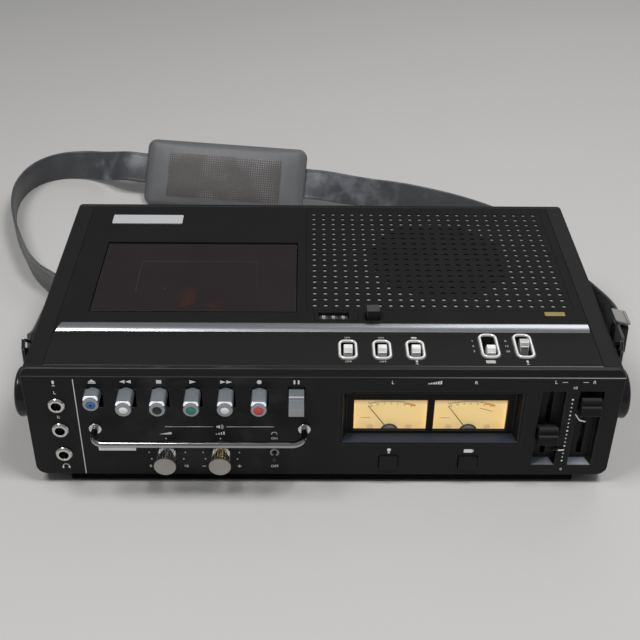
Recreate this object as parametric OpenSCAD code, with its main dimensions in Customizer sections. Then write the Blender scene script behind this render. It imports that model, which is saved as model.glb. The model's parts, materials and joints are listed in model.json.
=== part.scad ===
// Portable stereo cassette deck with lever keys, two level meters and a shoulder strap.
// Millimetres. X to the right, Y to the back, Z up from the table.

/* [Case] */
// Width of the case across its side panels
case_w = 375; // [366:1:410]
// Depth of the case from the front face to the back
case_d = 212; // [208:1:235]
// Height of the deck above the table
case_h = 93; // [91:1:105]
// Thickness of the moulded walls
wall = 3; // [2.5:0.1:3.5]
// Thickness of the front panel
front_t = 4; // [3.5:0.1:5]
// Thickness of the deck plate
deck_t = 2.5; // [2:0.1:3]
// Width of the rails along the top of the side panels
rail_w = 13; // [12:0.5:14]
// Rounding of the rails' outer edges
edge_r = 4; // [2:0.5:5]
// Rounding of the front panel's lower corners
corner_r = 7; // [4:0.5:9]
// Depth of the chamfer along the top of the front panel
chamfer_d = 3; // [2:0.1:4]
// Height of that chamfer
chamfer_h = 4.3; // [3:0.1:6]
// Depth of the front panel's top lip, measured from the front face
lip_d = 6; // [5:0.1:7]
// Height of the front panel's lower edge above the table
skirt_z = 8; // [7:0.5:10]
// How far the base stands in from each side of the case
base_inset = 21.5; // [20:0.5:24]
// How far the base stands back from the front face
base_back = 1.5; // [1:0.5:4]
// Thickness of the base's floor and sides
base_t = 2.5; // [2:0.1:3]
// Clearance between pieces that are laid together
seam = 0.2; // [0.15:0.05:0.3]
// Clearance round pieces that move
run_gap = 0.4; // [0.35:0.05:0.6]
// Radial clearance of a shaft in its bore
shaft_gap = 0.05; // [0.02:0.01:0.08]

/* [Feet] */
// Height of the rubber feet
foot_h = 2; // [1.5:0.1:3]
// Radius of the rubber feet
foot_r = 8; // [6:0.5:9]
// Distance of the feet from the base's edges
foot_in = 11; // [10:0.5:14]

/* [Cassette lid] */
// Width of the lid
lid_w = 136.6; // [132:0.2:138]
// Depth of the lid
lid_d = 88.6; // [86:0.2:92]
// Thickness of the lid
lid_t = 3; // [2.5:0.1:3.2]
// Distance of the lid from the case's left side
lid_left = 32.7; // [28:0.1:34]
// Distance of the lid behind the front face
lid_front = 65.8; // [64:0.1:70]
// Gap round the lid
lid_gap = 0.8; // [0.6:0.1:1.2]
// Radius of the lid's hinge barrel
barrel_r = 3; // [2.8:0.1:3.4]
// Radius of the hinge stubs
stub_r = 1.6; // [1.2:0.1:1.8]
// Length of the hinge stubs
stub_len = 6; // [4:0.5:8]
// Size of the window outline in the lid
window = [82.3, 41];
// Distance of that outline behind the lid's front edge
window_back = 21.5; // [15:0.5:28]
// Depth of the outline's step
window_step = 0.4; // [0.2:0.1:0.8]

/* [Tape transport] */
// Depth of the cassette well below the deck plate
well_depth = 16.5; // [16:0.1:18]
// Thickness of the well's walls
well_t = 2; // [1.5:0.1:2.2]
// Width of the space for a cassette
cassette_w = 102.4; // [101:0.1:104]
// Depth of the cassette
cassette_d = 63.8; // [63:0.1:65]
// Distance of the cassette's front edge behind the lid's front edge
cassette_back = 14; // [13.5:0.1:16]
// Distance of the hubs behind the cassette's front edge
hub_back = 35; // [33:0.1:36]
// Distance between the two hubs
hub_pitch = 42.5; // [42:0.1:43]
// Height of the spindles above the chassis
spindle_h = 10; // [8:0.1:10.5]
// Radius of the reel discs
reel_r = 13; // [10:0.5:16]
// Thickness of the mechanism chassis
chassis_t = 2; // [1.5:0.1:2.5]
// Sideways distance of the capstan from the cassette's middle
capstan_side = 22; // [21:0.1:23]
// Distance of the capstan behind the cassette's front edge
capstan_back = 8; // [7:0.1:9]
// Radius of the capstan
capstan_r = 1.25; // [1:0.05:1.5]
// Radius of the capstan's bearing
bearing_r = 4; // [3:0.1:5]
// Length of the capstan's bearing below the chassis
bearing_len = 26; // [20:0.5:27]
// Radius of the flywheel
flywheel_r = 32; // [26:0.5:34]
// Thickness of the flywheel
flywheel_t = 12; // [10:0.5:14]
// Drop from the chassis to the flywheel
flywheel_drop = 28; // [27.5:0.5:30]
// Radius of the motor pulley
pulley_r = 6; // [4:0.5:8]
// Radius of the motor
motor_r = 17; // [14:0.5:18]
// Sideways distance of the motor from the capstan
motor_side = 78; // [74:0.5:80]
// Distance of the motor behind the capstan
motor_back = 30; // [26:0.5:36]
// Width of the drive belt
belt_w = 4; // [3:0.2:5]
// Thickness of the drive belt
belt_t = 0.8; // [0.6:0.1:1]
// Radius of the pinch roller
pinch_r = 6; // [5:0.1:6.2]
// Travel of the head base into the cassette
head_travel = 5; // [4:0.1:5]
// Width of the head base
head_base_w = 72; // [68:1:76]

/* [Keys] */
// Distance of the keys' middles below the deck's top
key_down = 17.9; // [17:0.1:19.5]
// Distance of the first key from the case's left side
key_left = 43.7; // [43:0.1:48]
// Distance from one key to the next
key_pitch = 20.7; // [19:0.1:21]
// Diameter of the round keys
key_dia = 9.7; // [9:0.1:10]
// Reach of the keys in front of the front face
key_reach = 16; // [12:0.1:17]
// Reach of the shorter eject key
eject_reach = 11; // [8:0.1:12]
// Width of the flat along each key's top
key_flat = 6.2; // [5:0.1:7]
// Size of the bright facet at the front of that flat
facet = 1.9; // [1:0.1:3]
// Radius of the colour dot on each key's end
dot_r = 3; // [2:0.1:3.6]
// Distance from the record key to the pause key
pause_pitch = 23.1; // [21:0.1:24]
// Width of the pause key
pause_w = 9.6; // [8:0.1:10]
// Drop of a pressed key at its end
key_drop = 5; // [3:0.1:5.5]
// Distance of the key shaft behind the front face
shaft_back = 50; // [47:0.5:51]
// Radius of the key shaft
shaft_r = 2.5; // [2:0.1:3]
// Wall of a key's hub
hub_wall = 2; // [1.5:0.1:2.2]

/* [Guard bar] */
// Height of the guard bar
guard_z = 47.6; // [46:0.1:50]
// Reach of the guard bar's middle line in front of the front face
guard_reach = 16; // [14:0.1:20]
// Diameter of the guard bar's rod
guard_dia = 4.3; // [3.5:0.1:5]
// Bend radius of its corners
guard_bend = 8; // [6:0.1:10]

/* [Jacks] */
// Distance of the jacks from the case's left side
jack_left = 19.7; // [17:0.1:21]
// Heights of the jacks, the two for microphones first
jack_z = [65.9, 45.8, 25.7];
// Radius of a jack's bore
jack_r = 3.2; // [3.1:0.01:3.3]
// Radius of a jack's ring
jack_ring_r = 5.6; // [5.4:0.1:6.5]
// Depth of a jack's bore
jack_depth = 18; // [14:0.5:20]
// Height of a jack's ring
jack_ring_t = 2; // [1.5:0.1:2.5]
// Width of a jack's body behind the front panel
jack_body = 13; // [11:0.1:15]

/* [Knobs] */
// Distance of the volume knob from the case's left side
volume_left = 86.4; // [84:0.1:88]
// Distance from the volume knob to the tone knob
knob_pitch = 35; // [30:0.1:38]
// Height of the knobs
knob_z = 26.9; // [25:0.1:29]
// Diameter of a knob's clear body
knob_dia = 12; // [10:0.1:13]
// Diameter of a knob's metal end
knob_end_dia = 14.1; // [13:0.1:16]
// Reach of the knobs in front of the front face
knob_reach = 14.2; // [10:0.1:15]
// Thickness of a knob's metal end
knob_end_t = 1.2; // [0.8:0.1:1.6]
// Radius of a knob's stem
stem_r = 3; // [2.5:0.1:3.2]
// Number of ribs round a knob
knob_ribs = 18; // [12:1:24]
// Distance from the tone knob to the monitor toggle
toggle_pitch = 34.6; // [32:0.1:37]
// Height of the monitor toggle
toggle_z = 27.5; // [26:0.1:29]
// Radius of the toggle's bushing
bushing_r = 3; // [2.8:0.1:3.4]
// Angle of the toggle below level
toggle_tilt = 9; // [6:0.5:10]

/* [Meters] */
// Distance of the meter bezel's middle from the case's right side
meter_right = 118.7; // [117:0.1:119.5]
// Size of the bezel's mouth
bezel_w = 117; // [114:0.1:118]
// Height of the bezel's mouth
bezel_h = 43.6; // [42:0.1:44]
// Height of the bezel's lower edge above the table
bezel_z = 34.4; // [34:0.1:36]
// Depth of the bezel
bezel_d = 9; // [8:0.1:10]
// Draw of the bezel's walls from its mouth to its floor
bezel_draw = 4.5; // [3:0.1:4.6]
// Width of a meter's window
meter_w = 47; // [44:0.1:48]
// Height of a meter's window
meter_h = 25; // [22:0.1:26]
// Distance from one meter's middle to the other's
meter_pitch = 51.5; // [51:0.1:53]
// Height of the windows above the bezel's lower edge
window_z = 5.6; // [5:0.1:8]
// Depth of a meter behind the bezel
meter_d = 18; // [14:0.5:20]
// Distance of the needles' pivots below the windows
pivot_low = 3; // [2.5:0.1:3.5]
// Length of a needle
needle_len = 25; // [20:0.1:26]
// Rest angle of a needle to the left of upright
needle_rest = 35; // [28:0.5:36]
// Size of the two small buttons
button_w = 12.2; // [10:0.1:13]
// Height of the two small buttons
button_h = 10.5; // [8:0.1:11]
// Height of the buttons' middles
button_z = 18.5; // [17:0.1:20]
// Distance of each button from the meters' middle line
button_side = 26; // [24:0.1:28]
// How far the buttons stand out
button_out = 1.5; // [0.5:0.1:2.5]
// Travel of the buttons
button_travel = 2; // [1:0.1:2.5]

/* [Level controls] */
// Distance of the channels' middle line from the case's right side
level_right = 31.2; // [30:0.1:34]
// Distance between the two channels
level_pitch = 24; // [22:0.1:25]
// Width of a channel
channel_w = 15.4; // [15:0.1:17]
// Height of a channel's lower edge
channel_z = 16.5; // [15:0.1:18]
// Length of a channel
channel_len = 61.5; // [60:0.1:62]
// Depth of a channel
channel_d = 6; // [5:0.1:7]
// Rise of the sloping ledge at a channel's foot
ledge_rise = 2; // [1:0.1:3]
// Width of the slot in a channel
slot_w = 3.4; // [3:0.1:4]
// Travel of a level knob
level_travel = 44; // [40:0.5:44]
// Width of a level knob
level_knob_w = 12.8; // [11:0.1:13]
// Height of a level knob
level_knob_h = 12; // [10:0.1:12]
// Reach of a level knob in front of the front face
level_reach = 5; // [3:0.1:7]
// Height of the left knob above the low end of its travel
left_level = 17; // [0:0.5:40]
// Height of the right knob above the low end of its travel
right_level = 41; // [0:0.5:44]

/* [Deck] */
// Distance of the silver trim bar behind the front face
trim_front = 42.2; // [41.5:0.1:44]
// Depth of the trim bar
trim_d = 10; // [8:0.1:11]
// Height of the trim bar
trim_h = 1.5; // [1:0.1:2.5]
// Pitch of the grille's holes
hole_pitch = 7.3; // [6.8:0.1:8]
// Diameter of the grille's holes
hole_dia = 3.2; // [2.4:0.1:4]
// Distance of the grille plate behind the front face
grille_front = 68; // [67:0.1:72]
// Gap from the lid to the grille plate
grille_gap = 7.2; // [7:0.1:9]
// Margin of the grille plate beyond its outer holes
grille_margin = 5.5; // [4:0.1:6]
// Radius of the loudspeaker's mouth
mouth_r = 47.4; // [40:0.1:48]
// Room between the loudspeaker and the battery tray under it
speaker_room = 6.4; // [2:0.1:10]
// Thickness of the loudspeaker's baffle
baffle_t = 1.5; // [1:0.1:2]

/* [Switches] */
// Distances of the switches from the case's right side
switch_right = [172.4, 150.8, 129.6, 82.2, 60.2];
// Width of a switch bezel
switch_w = 12.4; // [11:0.1:13]
// Length of the bezel of a switch with two places
switch_len = 20.3; // [18:0.1:22]
// Length of the bezel of a switch with three places
long_len = 26; // [25:0.1:27]
// Middle of the short switches behind the front face
switch_back = 23.3; // [22:0.1:25]
// Middle of the long switches behind the front face
long_back = 27; // [26:0.1:27.5]
// Width of the bezels' rims
rim_w = 2.2; // [1.8:0.1:2.6]
// Height of the bezels' rims
rim_h = 1.5; // [1:0.1:2]
// Depth of a switch below the deck
switch_d = 10; // [8:0.1:12]
// Travel of a switch with two places
short_travel = 6; // [4:0.1:7]
// Travel of a switch with three places
long_travel = 13; // [11:0.1:13]
// Length of a switch knob
slider_len = 7; // [6:0.1:7]
// Height of a switch knob above the deck
slider_h = 5; // [3:0.1:6]

/* [Counter] */
// Distance of the counter's window from the lid
counter_gap = 12; // [11:0.1:14]
// Distance of the counter's window behind the front face
counter_front = 55.6; // [55:0.1:56]
// Size of the counter's window
counter_size = [29.4, 11];
// Radius of the number wheels
wheel_r = 6.2; // [5:0.1:7]
// Width of the number wheels
wheel_w = 6.2; // [5:0.1:6.4]
// Radius of the wheels' axle
axle_r = 1; // [0.8:0.1:1.5]
// Distance from the counter's window to the reset button
reset_gap = 5.2; // [4:0.1:8]
// Size of the reset button
reset_size = [8.7, 8];
// Height of the reset button above the deck
reset_h = 7; // [4:0.1:8]
// Travel of the reset button
reset_travel = 3; // [2:0.1:3.5]

/* [Battery] */
// Diameter of a battery cell
cell_dia = 34.2; // [33:0.1:34.5]
// Length of a battery cell
cell_len = 61.5; // [60:0.1:61.5]
// Room for the contact springs in each row of cells
spring_room = 9; // [6:0.5:12]
// Distance of the battery tray from the case's right side
tray_right = 43; // [42:0.5:46]
// Depth of the battery tray's back wall in front of the back
tray_back = 14; // [10:0.5:16]
// Width of the tongues that hold the door
tongue_w = 3; // [2:0.1:4]
// Travel of the battery door
door_travel = 80; // [60:1:90]

/* [Back] */
// Size of the socket pocket
pocket_size = [72, 24];
// Distance of the pocket from the case's left side
pocket_left = 40; // [30:0.5:60]
// Height of the pocket's lower edge
pocket_z = 34; // [30:0.5:38]
// Depth of the pocket
pocket_d = 7; // [6:0.1:9]
// Radius of a line socket's ring
line_r = 4.2; // [4:0.1:4.5]
// Distance from one line socket to the next
line_pitch = 13; // [11:0.1:13.5]

/* [Circuit board] */
// Height of the circuit board above the table
board_z = 46; // [45.5:0.1:47]
// Thickness of the circuit board
board_t = 1.6; // [1:0.1:2]
// Distance of the circuit board behind the front face
board_front = 34; // [33:0.5:38]
// Depth of the circuit board
board_d = 62; // [50:0.5:64]
// Diameter of the capacitors on the board
capacitor_dia = 8; // [5:0.1:9]
// Height of those capacitors
capacitor_h = 12; // [8:0.1:14]
// Length of the chips on the board
chip_len = 20; // [16:0.1:22]

/* [Strap] */
// Radius of the strap lugs
lug_r = 16.5; // [14:0.1:18]
// How far the lugs stand out of the sides
lug_out = 8.5; // [6:0.1:9]
// Middle of the lugs behind the front face
lug_back = 21; // [20:0.1:24]
// Height of the lugs
lug_z = 60.5; // [56:0.1:64]
// Reach of the lugs' loops from the lugs' middles
loop_reach = 33; // [30:0.1:34]
// Tilt of the loops above level
loop_tilt = 50; // [45:1:55]
// Width of the strap
strap_w = 28; // [24:0.5:28]
// Thickness of the strap
strap_t = 2.2; // [1.6:0.1:2.6]
// Length of the shoulder pad
pad_len = 152; // [130:1:160]
// Height of the shoulder pad
pad_h = 62; // [50:1:64]
// Thickness of the shoulder pad
pad_t = 9; // [7:0.1:9]
// Thickness of the pad at its rim
pad_rim = 5; // [4:0.1:6]

/* [Hidden] */
$fn = 48;
cut = 1;                                   // how far a cutting shape runs past the face it cuts

// The case
xl = -case_w/2;
xr = case_w/2;
under_z = case_h - deck_t;                 // underside of the deck plate
rail_x = xr - rail_w;                      // inner edge of a rail
ledge_w = 3;                               // ledge under the deck plate's edges
deck_x = rail_x - seam;
deck_y0 = lip_d + seam;
rear_y = case_d - wall;                    // inner face of the rear panel
deck_y1 = rear_y - seam;
base_x = xr - base_inset - seam;           // outer face of the base's sides
floor_z = foot_h + base_t;                 // top of the base's floor
base_top = skirt_z - seam;
origin_y = (guard_reach + guard_dia/2 - case_d)/2;   // puts the origin under the middle of the whole deck

// The cassette lid and the transport under it
lid_x0 = xl + lid_left;
lid_x1 = lid_x0 + lid_w;
lid_y1 = lid_front + lid_d;
hinge_y = lid_y1 - barrel_r;
hinge_z = case_h - barrel_r;
lid_z = case_h - lid_t;
tape_x = (lid_x0 + lid_x1)/2;
tape_y = lid_front + cassette_back;
hub_y = tape_y + hub_back;
chassis_z = under_z - well_depth;          // top of the chassis
chassis_low = chassis_z - chassis_t;
chassis_x0 = lid_x0 - lid_gap - well_t;
chassis_x1 = lid_x1 + lid_gap + well_t;
chassis_y0 = lid_front - lid_gap - well_t - 3;
chassis_y1 = lid_y1 + lid_gap + well_t;
post_in = 6;                               // chassis posts from the chassis' edges
post_r = 4;
capstan_x = tape_x + capstan_side;
capstan_y = tape_y + capstan_back;
flywheel_z = chassis_low - flywheel_drop - flywheel_t;
motor_x = capstan_x - motor_side;
motor_y = capstan_y + motor_back;
motor_z = flywheel_z + flywheel_t - 2;     // lower end of the motor
belt_z = flywheel_z + (flywheel_t - belt_w)/2;
belt_gap = 0.3;
head_y = lid_front + 2.5;
head_z = chassis_z + 0.3;
head_t = 1.5;
pinch_y = capstan_y - head_travel - capstan_r - pinch_r - 0.3;

// The keys
key_names = 6;
key_z = case_h - key_down;
function key_x(i) = xl + key_left + key_pitch*i;
pause_x = key_x(key_names - 1) + pause_pitch;
key_r = key_dia/2;
slot_top = key_z + key_r + 1;
slot_low = key_z - key_r - key_drop - 1;
hub_r = shaft_r + hub_wall;
bracket_gap = 8;                           // from a key's middle to the shaft's bracket
bracket_x0 = key_x(0) - bracket_gap;
bracket_x1 = pause_x + bracket_gap;
bracket_t = 2;
strip_y = shaft_back + hub_r + 1.5;

// The front's controls
jack_x = xl + jack_left;
jack_wall = jack_r/2;                      // wall of a jack's sleeve in the front panel
volume_x = xl + volume_left;
tone_x = volume_x + knob_pitch;
toggle_x = tone_x + toggle_pitch;
pot_hole_r = stem_r + 1.2;
meter_x = xr - meter_right;
window_low = bezel_z + window_z;
meter_y = bezel_d + seam;                  // front of the meters
needle_y = meter_y + 1;
level_x = xr - level_right;
level_low = channel_z + ledge_rise + level_knob_h/2 + 1.5;
channel_back = 2;                          // wall behind a channel
track_d = 8;                               // depth of a slide control

// The deck's openings
grille_x0 = lid_x1 + grille_gap;
grille_room = deck_x - 6 - grille_x0;      // width that the grille may take
grille_cols = floor((grille_room - 2*grille_margin)/hole_pitch) + 1;
grille_rows = floor((deck_y1 - 5 - grille_front - 2*grille_margin)/hole_pitch) + 1;
grille_x1 = grille_x0 + 2*grille_margin + (grille_cols - 1)*hole_pitch;
grille_y1 = grille_front + 2*grille_margin + (grille_rows - 1)*hole_pitch;
speaker_x = (grille_x0 + grille_x1)/2 + hole_pitch/2;
speaker_y = (grille_front + grille_y1)/2 - hole_pitch/2;
baffle_over = 2.8;                         // how far the baffle reaches under the deck plate
counter_x = lid_x1 + counter_gap;
counter_z = under_z - wheel_r - 0.2;       // middle of the number wheels
wheel_x = counter_x + 3.4;
wheel_pitch = wheel_w + 0.25;
counter_rim = 1.6;
reset_x = counter_x + counter_size[0] + reset_gap;
reset_y = counter_front + 0.4;

// The battery tray
tray_t = 2;
tray_x1 = xr - tray_right;
tray_x0 = tray_x1 - 2*cell_len - spring_room;
tray_y1 = case_d - tray_back;
tray_y0 = tray_y1 - 2*cell_dia - 2;
tray_floor = base_top - seam;              // top of the door's pad and of the ribs above its tongues
cell_z = tray_floor + 0.3 + cell_dia/2;    // middle of the cells
tray_top = cell_z + cell_dia/2 + 0.5;
speaker_d = under_z - baffle_t - tray_top - tray_t - speaker_room;
door_x0 = tray_x0 + tongue_w;
door_x1 = tray_x1 - tongue_w;
tongue_h = 1.5;

strap_low = strap_w/2 + 0.3;
loop_t = 2.4;                              // thickness of the lugs' loops
loop_in = 2.2;                             // distance of the loops from the case's sides
strap_out = loop_in + loop_t + 0.5 + strap_t/2;
pad_x = -87.4;                             // middle of the pad's back
pad_y = 388.1;
pad_lean = 36;
pad_z = pad_h/2*cos(pad_lean) + 0.4;
pad_turn = -8.5;                           // turn of the pad about the vertical
function on_pad(s, k) = let(d = strap_t/2 + 0.3, b = k*sin(pad_lean) + d*cos(pad_lean))
    [pad_x + s*cos(pad_turn) - b*sin(pad_turn), pad_y + s*sin(pad_turn) + b*cos(pad_turn),
     pad_z + k*cos(pad_lean) - d*sin(pad_lean), pad_lean];
pad_end = pad_len/2 + 4;
// The strap's route along its middle line, from the left lug to the right one
// Each point: right, back, up, and how far the strap's upper edge leans outwards there
strap_route = [
    [xl - strap_out, lug_back + 25, lug_z + 11, 0], [xl - strap_out, lug_back + 35, lug_z + 6.3, 0],
    [-194.2, 68, 63, 0], [-197, 115, 51, 0], [-198, 140, 43, 0], [-200, 164, 32.5, 0], [-203, 185, 23.5, 0],
    [-208, 203, 17.5, 0], [-217, 217, strap_low + 0.4, -4], [-229, 230, strap_low, -8],
    [-241, 247, strap_low, -10], [-253, 272, strap_low, -10], [-266, 303, strap_low, -11],
    [-275.5, 333, strap_low, -13], [-281, 363, strap_low, -16], [-280.5, 388, strap_low, -16],
    [-275, 408.5, strap_low, -14], [-265, 423, strap_low, -9], [-250, 432, strap_low, 0],
    [-229, 433, strap_low + 1, 9], [-207, 424, 18.5, 20],
    on_pad(-pad_end - 16, 4.2), on_pad(-pad_end, 3.6), on_pad(0, 1.8), on_pad(pad_end, 0),
    on_pad(pad_end + 14, -0.4), [28, 375.5, 20, 18], [50, 376, 16.6, 8], [75, 374.5, strap_low + 0.6, 0],
    [102, 365, strap_low, 0], [130, 350, strap_low, 0], [156, 331, strap_low, 0], [179, 307, strap_low, 0],
    [196, 279, strap_low, 0], [206, 247, strap_low, 0], [208, 214, 19, 0], [205, 186, 30, 0],
    [198.5, 134, 57, 0], [199, 88, 73, 0], [197.5, 68, 78.5, 0],
    [xr + strap_out, lug_back + 30, lug_z + 20, 0], [xr + strap_out, lug_back + 17, lug_z + 19, 0]
];

// Extrudes a drawing of X and Z backwards from y0
module face(y0, t) { translate([0, y0 + t, 0]) rotate([90, 0, 0]) linear_extrude(t) children(); }
// Extrudes a drawing of Y and Z to the right from x0
module across(x0, w) { translate([x0, 0, 0]) rotate([90, 0, 90]) linear_extrude(w) children(); }
// Extrudes a drawing of X and Y upwards from z0
module flat(z0, h) { translate([0, 0, z0]) linear_extrude(h) children(); }
module bar(x0, x1, y0, y1, z0, z1) { translate([x0, y0, z0]) cube([x1 - x0, y1 - y0, z1 - z0]); }
module rod_x(x0, x1, y, z, r) { translate([x0, y, z]) rotate([0, 90, 0]) cylinder(h = x1 - x0, r = r); }
module rod_y(x, y0, y1, z, r) { translate([x, y1, z]) rotate([90, 0, 0]) cylinder(h = y1 - y0, r = r); }
module rod_z(x, y, z0, z1, r) { translate([x, y, z0]) cylinder(h = z1 - z0, r = r); }
function arc(cx, cy, r, a0, a1, n = 6) =
    [for (i = [0:n]) let(a = a0 + (a1 - a0)*i/n) [cx + r*cos(a), cy + r*sin(a)]];
function box_points(x0, y0, x1, y1, r) = concat(
    arc(x0 + r, y0 + r, r, 180, 270), arc(x1 - r, y0 + r, r, 270, 360),
    arc(x1 - r, y1 - r, r, 0, 90), arc(x0 + r, y1 - r, r, 90, 180));
module round_box(x0, y0, x1, y1, r) polygon(box_points(x0, y0, x1, y1, r));
module box_2d(x0, y0, x1, y1) translate([x0, y0]) square([x1 - x0, y1 - y0]);

// Outline of the front and rear panels
module panel_outline(low_r) {
    polygon(concat(
        arc(xl + low_r, skirt_z + low_r, low_r, 180, 270), arc(xr - low_r, skirt_z + low_r, low_r, 270, 360),
        arc(xr - edge_r, case_h - edge_r, edge_r, 0, 90), arc(xl + edge_r, case_h - edge_r, edge_r, 90,
            180)));
}
// Key slot with a round top
module key_slot(x) {
    w = key_r + run_gap + 0.3;
    polygon(concat([[x - w, slot_low], [x + w, slot_low]], arc(x, slot_top - w, w, 0, 180, 12)));
}
module meter_mouth(grow) {
    round_box(meter_x - bezel_w/2 - grow, bezel_z - grow, meter_x + bezel_w/2 + grow,
        bezel_z + bezel_h + grow, 2.5);
}
module front_cutouts() {
    for (i = [0:key_names - 1]) key_slot(key_x(i));
    box_2d(pause_x - pause_w/2 - 0.6, slot_low, pause_x + pause_w/2 + 0.6, slot_top);
    for (z = jack_z) translate([jack_x, z]) circle(jack_r + jack_wall + seam);
    for (x = [volume_x, tone_x]) translate([x, knob_z]) circle(pot_hole_r + seam);
    translate([toggle_x, toggle_z]) circle(bushing_r - 0.4);
    for (side = [-1, 1]) translate([meter_x + side*button_side, button_z])
        square([button_w + 2*run_gap, button_h + 2*run_gap], center = true);
    meter_mouth(seam);
}
module channel_2d(side) {
    x = level_x + side*level_pitch/2;
    box_2d(x - channel_w/2, channel_z, x + channel_w/2, channel_z + channel_len);
}
module front_panel() {
    channel_edge = 2;
    block_x = level_pitch/2 + channel_w/2 + channel_edge;
    color("#232326") difference() {
        union() {
            face(0, front_t) difference() { panel_outline(corner_r); front_cutouts(); }
            bar(xl + edge_r, xr - edge_r, front_t, lip_d, under_z, case_h);
            bar(level_x - block_x, level_x + block_x, front_t, channel_d + channel_back,
                channel_z - channel_edge, channel_z + channel_len + channel_edge);
        }
        across(xl - cut, case_w + 2*cut) polygon([[-cut, case_h - chamfer_h*(1 + cut/chamfer_d)],
            [chamfer_d*(1 + cut/chamfer_h), case_h + cut], [-cut, case_h + cut]]);
        for (side = [-1, 1]) {
            x = level_x + side*level_pitch/2;
            across(x - channel_w/2, channel_w) polygon([[-cut, channel_z - ledge_rise*cut/channel_d],
                [channel_d, channel_z + ledge_rise], [channel_d, channel_z + channel_len],
                [-cut, channel_z + channel_len]]);
            bar(x - slot_w/2, x + slot_w/2, 0, channel_d + channel_back + cut,
                level_low - 4, level_low + level_travel + 4);
        }
    }
}

// Side panel in the shape of a C: wall, top rail with its ledge, and foot flange
module side_panel() {
    flange_x = xr - base_inset;
    foot_round = 3;
    face(front_t, rear_y - front_t)
        polygon(concat([[flange_x, skirt_z]], arc(xr - foot_round, skirt_z + foot_round, foot_round, 270,
            360),
            arc(xr - edge_r, case_h - edge_r, edge_r, 0, 90),
            [[rail_x, case_h], [rail_x, under_z], [rail_x - ledge_w, under_z],
            [rail_x - ledge_w, under_z - wall],
            [xr - wall, under_z - wall], [xr - wall, skirt_z + wall], [flange_x, skirt_z + wall]]));
}
module side_panels() {
    color("#262629") difference() {
        for (side = [0, 1]) mirror([side, 0, 0]) side_panel();
        bar(xl + edge_r - seam, xr - edge_r + seam, front_t - cut, lip_d + seam, under_z - seam,
            case_h + cut);
    }
}

module rear_panel() {
    color("#202022") face(rear_y, wall) difference() {
        panel_outline(4);
        box_2d(xl + pocket_left, pocket_z, xl + pocket_left + pocket_size[0], pocket_z + pocket_size[1]);
    }
}

module battery_walls() {
    flat(floor_z - cut, tray_top + tray_t - floor_z + cut)
        box_2d(tray_x0 - tray_t, tray_y0 - tray_t, tray_x1 + tray_t, tray_y1 + tray_t);
}
module chassis_posts() {
    for (x = [chassis_x0 + post_in, chassis_x1 - post_in], y = [chassis_y0 + post_in, chassis_y1 - post_in])
        rod_z(x, y, floor_z - cut, chassis_low, post_r);
}
function board_x0() = chassis_x1 + 8;
function board_x1() = xr - 22;
module board_posts() {
    for (x = [board_x0() + 5, board_x1() - 5], y = [board_front + 5, board_front + board_d - 5])
        rod_z(x, y, floor_z - cut, board_z, 3);
}
module bottom_cover() {
    y0 = base_back;
    y1 = case_d - base_back;
    color("#1d1d1f") difference() {
        union() {
            flat(foot_h, base_t) box_2d(-base_x, y0, base_x, y1);
            for (side = [-1, 1]) bar(side*(base_x - base_t/2) - base_t/2,
                side*(base_x - base_t/2) + base_t/2,
                lip_d, rear_y - seam, foot_h, skirt_z + wall);
            for (y = [y0, y1 - base_t]) bar(-base_x, base_x, y, y + base_t, foot_h, base_top);
            chassis_posts();
            board_posts();
            battery_walls();
        }
        bar(tray_x0, tray_x1, tray_y0, tray_y1, tray_floor, tray_top);
        bar(tray_x0, tray_x1, tray_y0, case_d, floor_z, floor_z + tongue_h + 2*seam);
        bar(tray_x0 + tongue_w, tray_x1 - tongue_w, tray_y0, tray_y1, floor_z - cut, tray_top);
        bar(door_x0, door_x1, tray_y0, case_d + cut, foot_h - cut, floor_z + cut);
        bar(door_x0 - tongue_w, door_x1 + tongue_w, tray_y1, case_d + cut, floor_z, base_top + cut);
    }
}
module battery_door() {
    y1 = case_d - base_back;
    color("#1f1f21") {
        flat(foot_h, base_t) box_2d(door_x0 + seam, tray_y0 + seam, door_x1 - seam, y1);
        flat(floor_z, tongue_h) box_2d(tray_x0 + seam, tray_y0 + seam, tray_x1 - seam, y1);
        bar(tray_x0 + seam, tray_x1 - seam, y1 - base_t, y1, floor_z + tongue_h - cut, tray_floor);
        bar(door_x0 + 1, door_x1 - 1, tray_y0 + 1, tray_y1 - 1, floor_z + tongue_h - cut, tray_floor);
    }
}
module battery_cells() {
    nub_r = 4.8;
    nub_h = 1.2;
    color("#8a8d90") for (row = [0, 1], col = [0, 1]) {
        x = tray_x0 + spring_room/2 + col*(cell_len + 0.4);
        y = tray_y0 + 0.5 + cell_dia/2 + row*(cell_dia + 0.6);
        rod_x(x, x + cell_len - nub_h, y, cell_z, cell_dia/2);
        rod_x(x + cell_len - nub_h - 0.1, x + cell_len, y, cell_z, nub_r);
    }
}
module rubber_feet() {
    color("#101011") for (x = [-base_x + foot_in, base_x - foot_in],
        y = [base_back + foot_in, case_d - base_back - foot_in])
        translate([x, y, 0]) rotate_extrude()
            polygon([[0, 0.4], [foot_r/2, 0], [foot_r - 0.8, 0], [foot_r, 0.8], [foot_r, foot_h],
                [0, foot_h]]);
}

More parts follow.
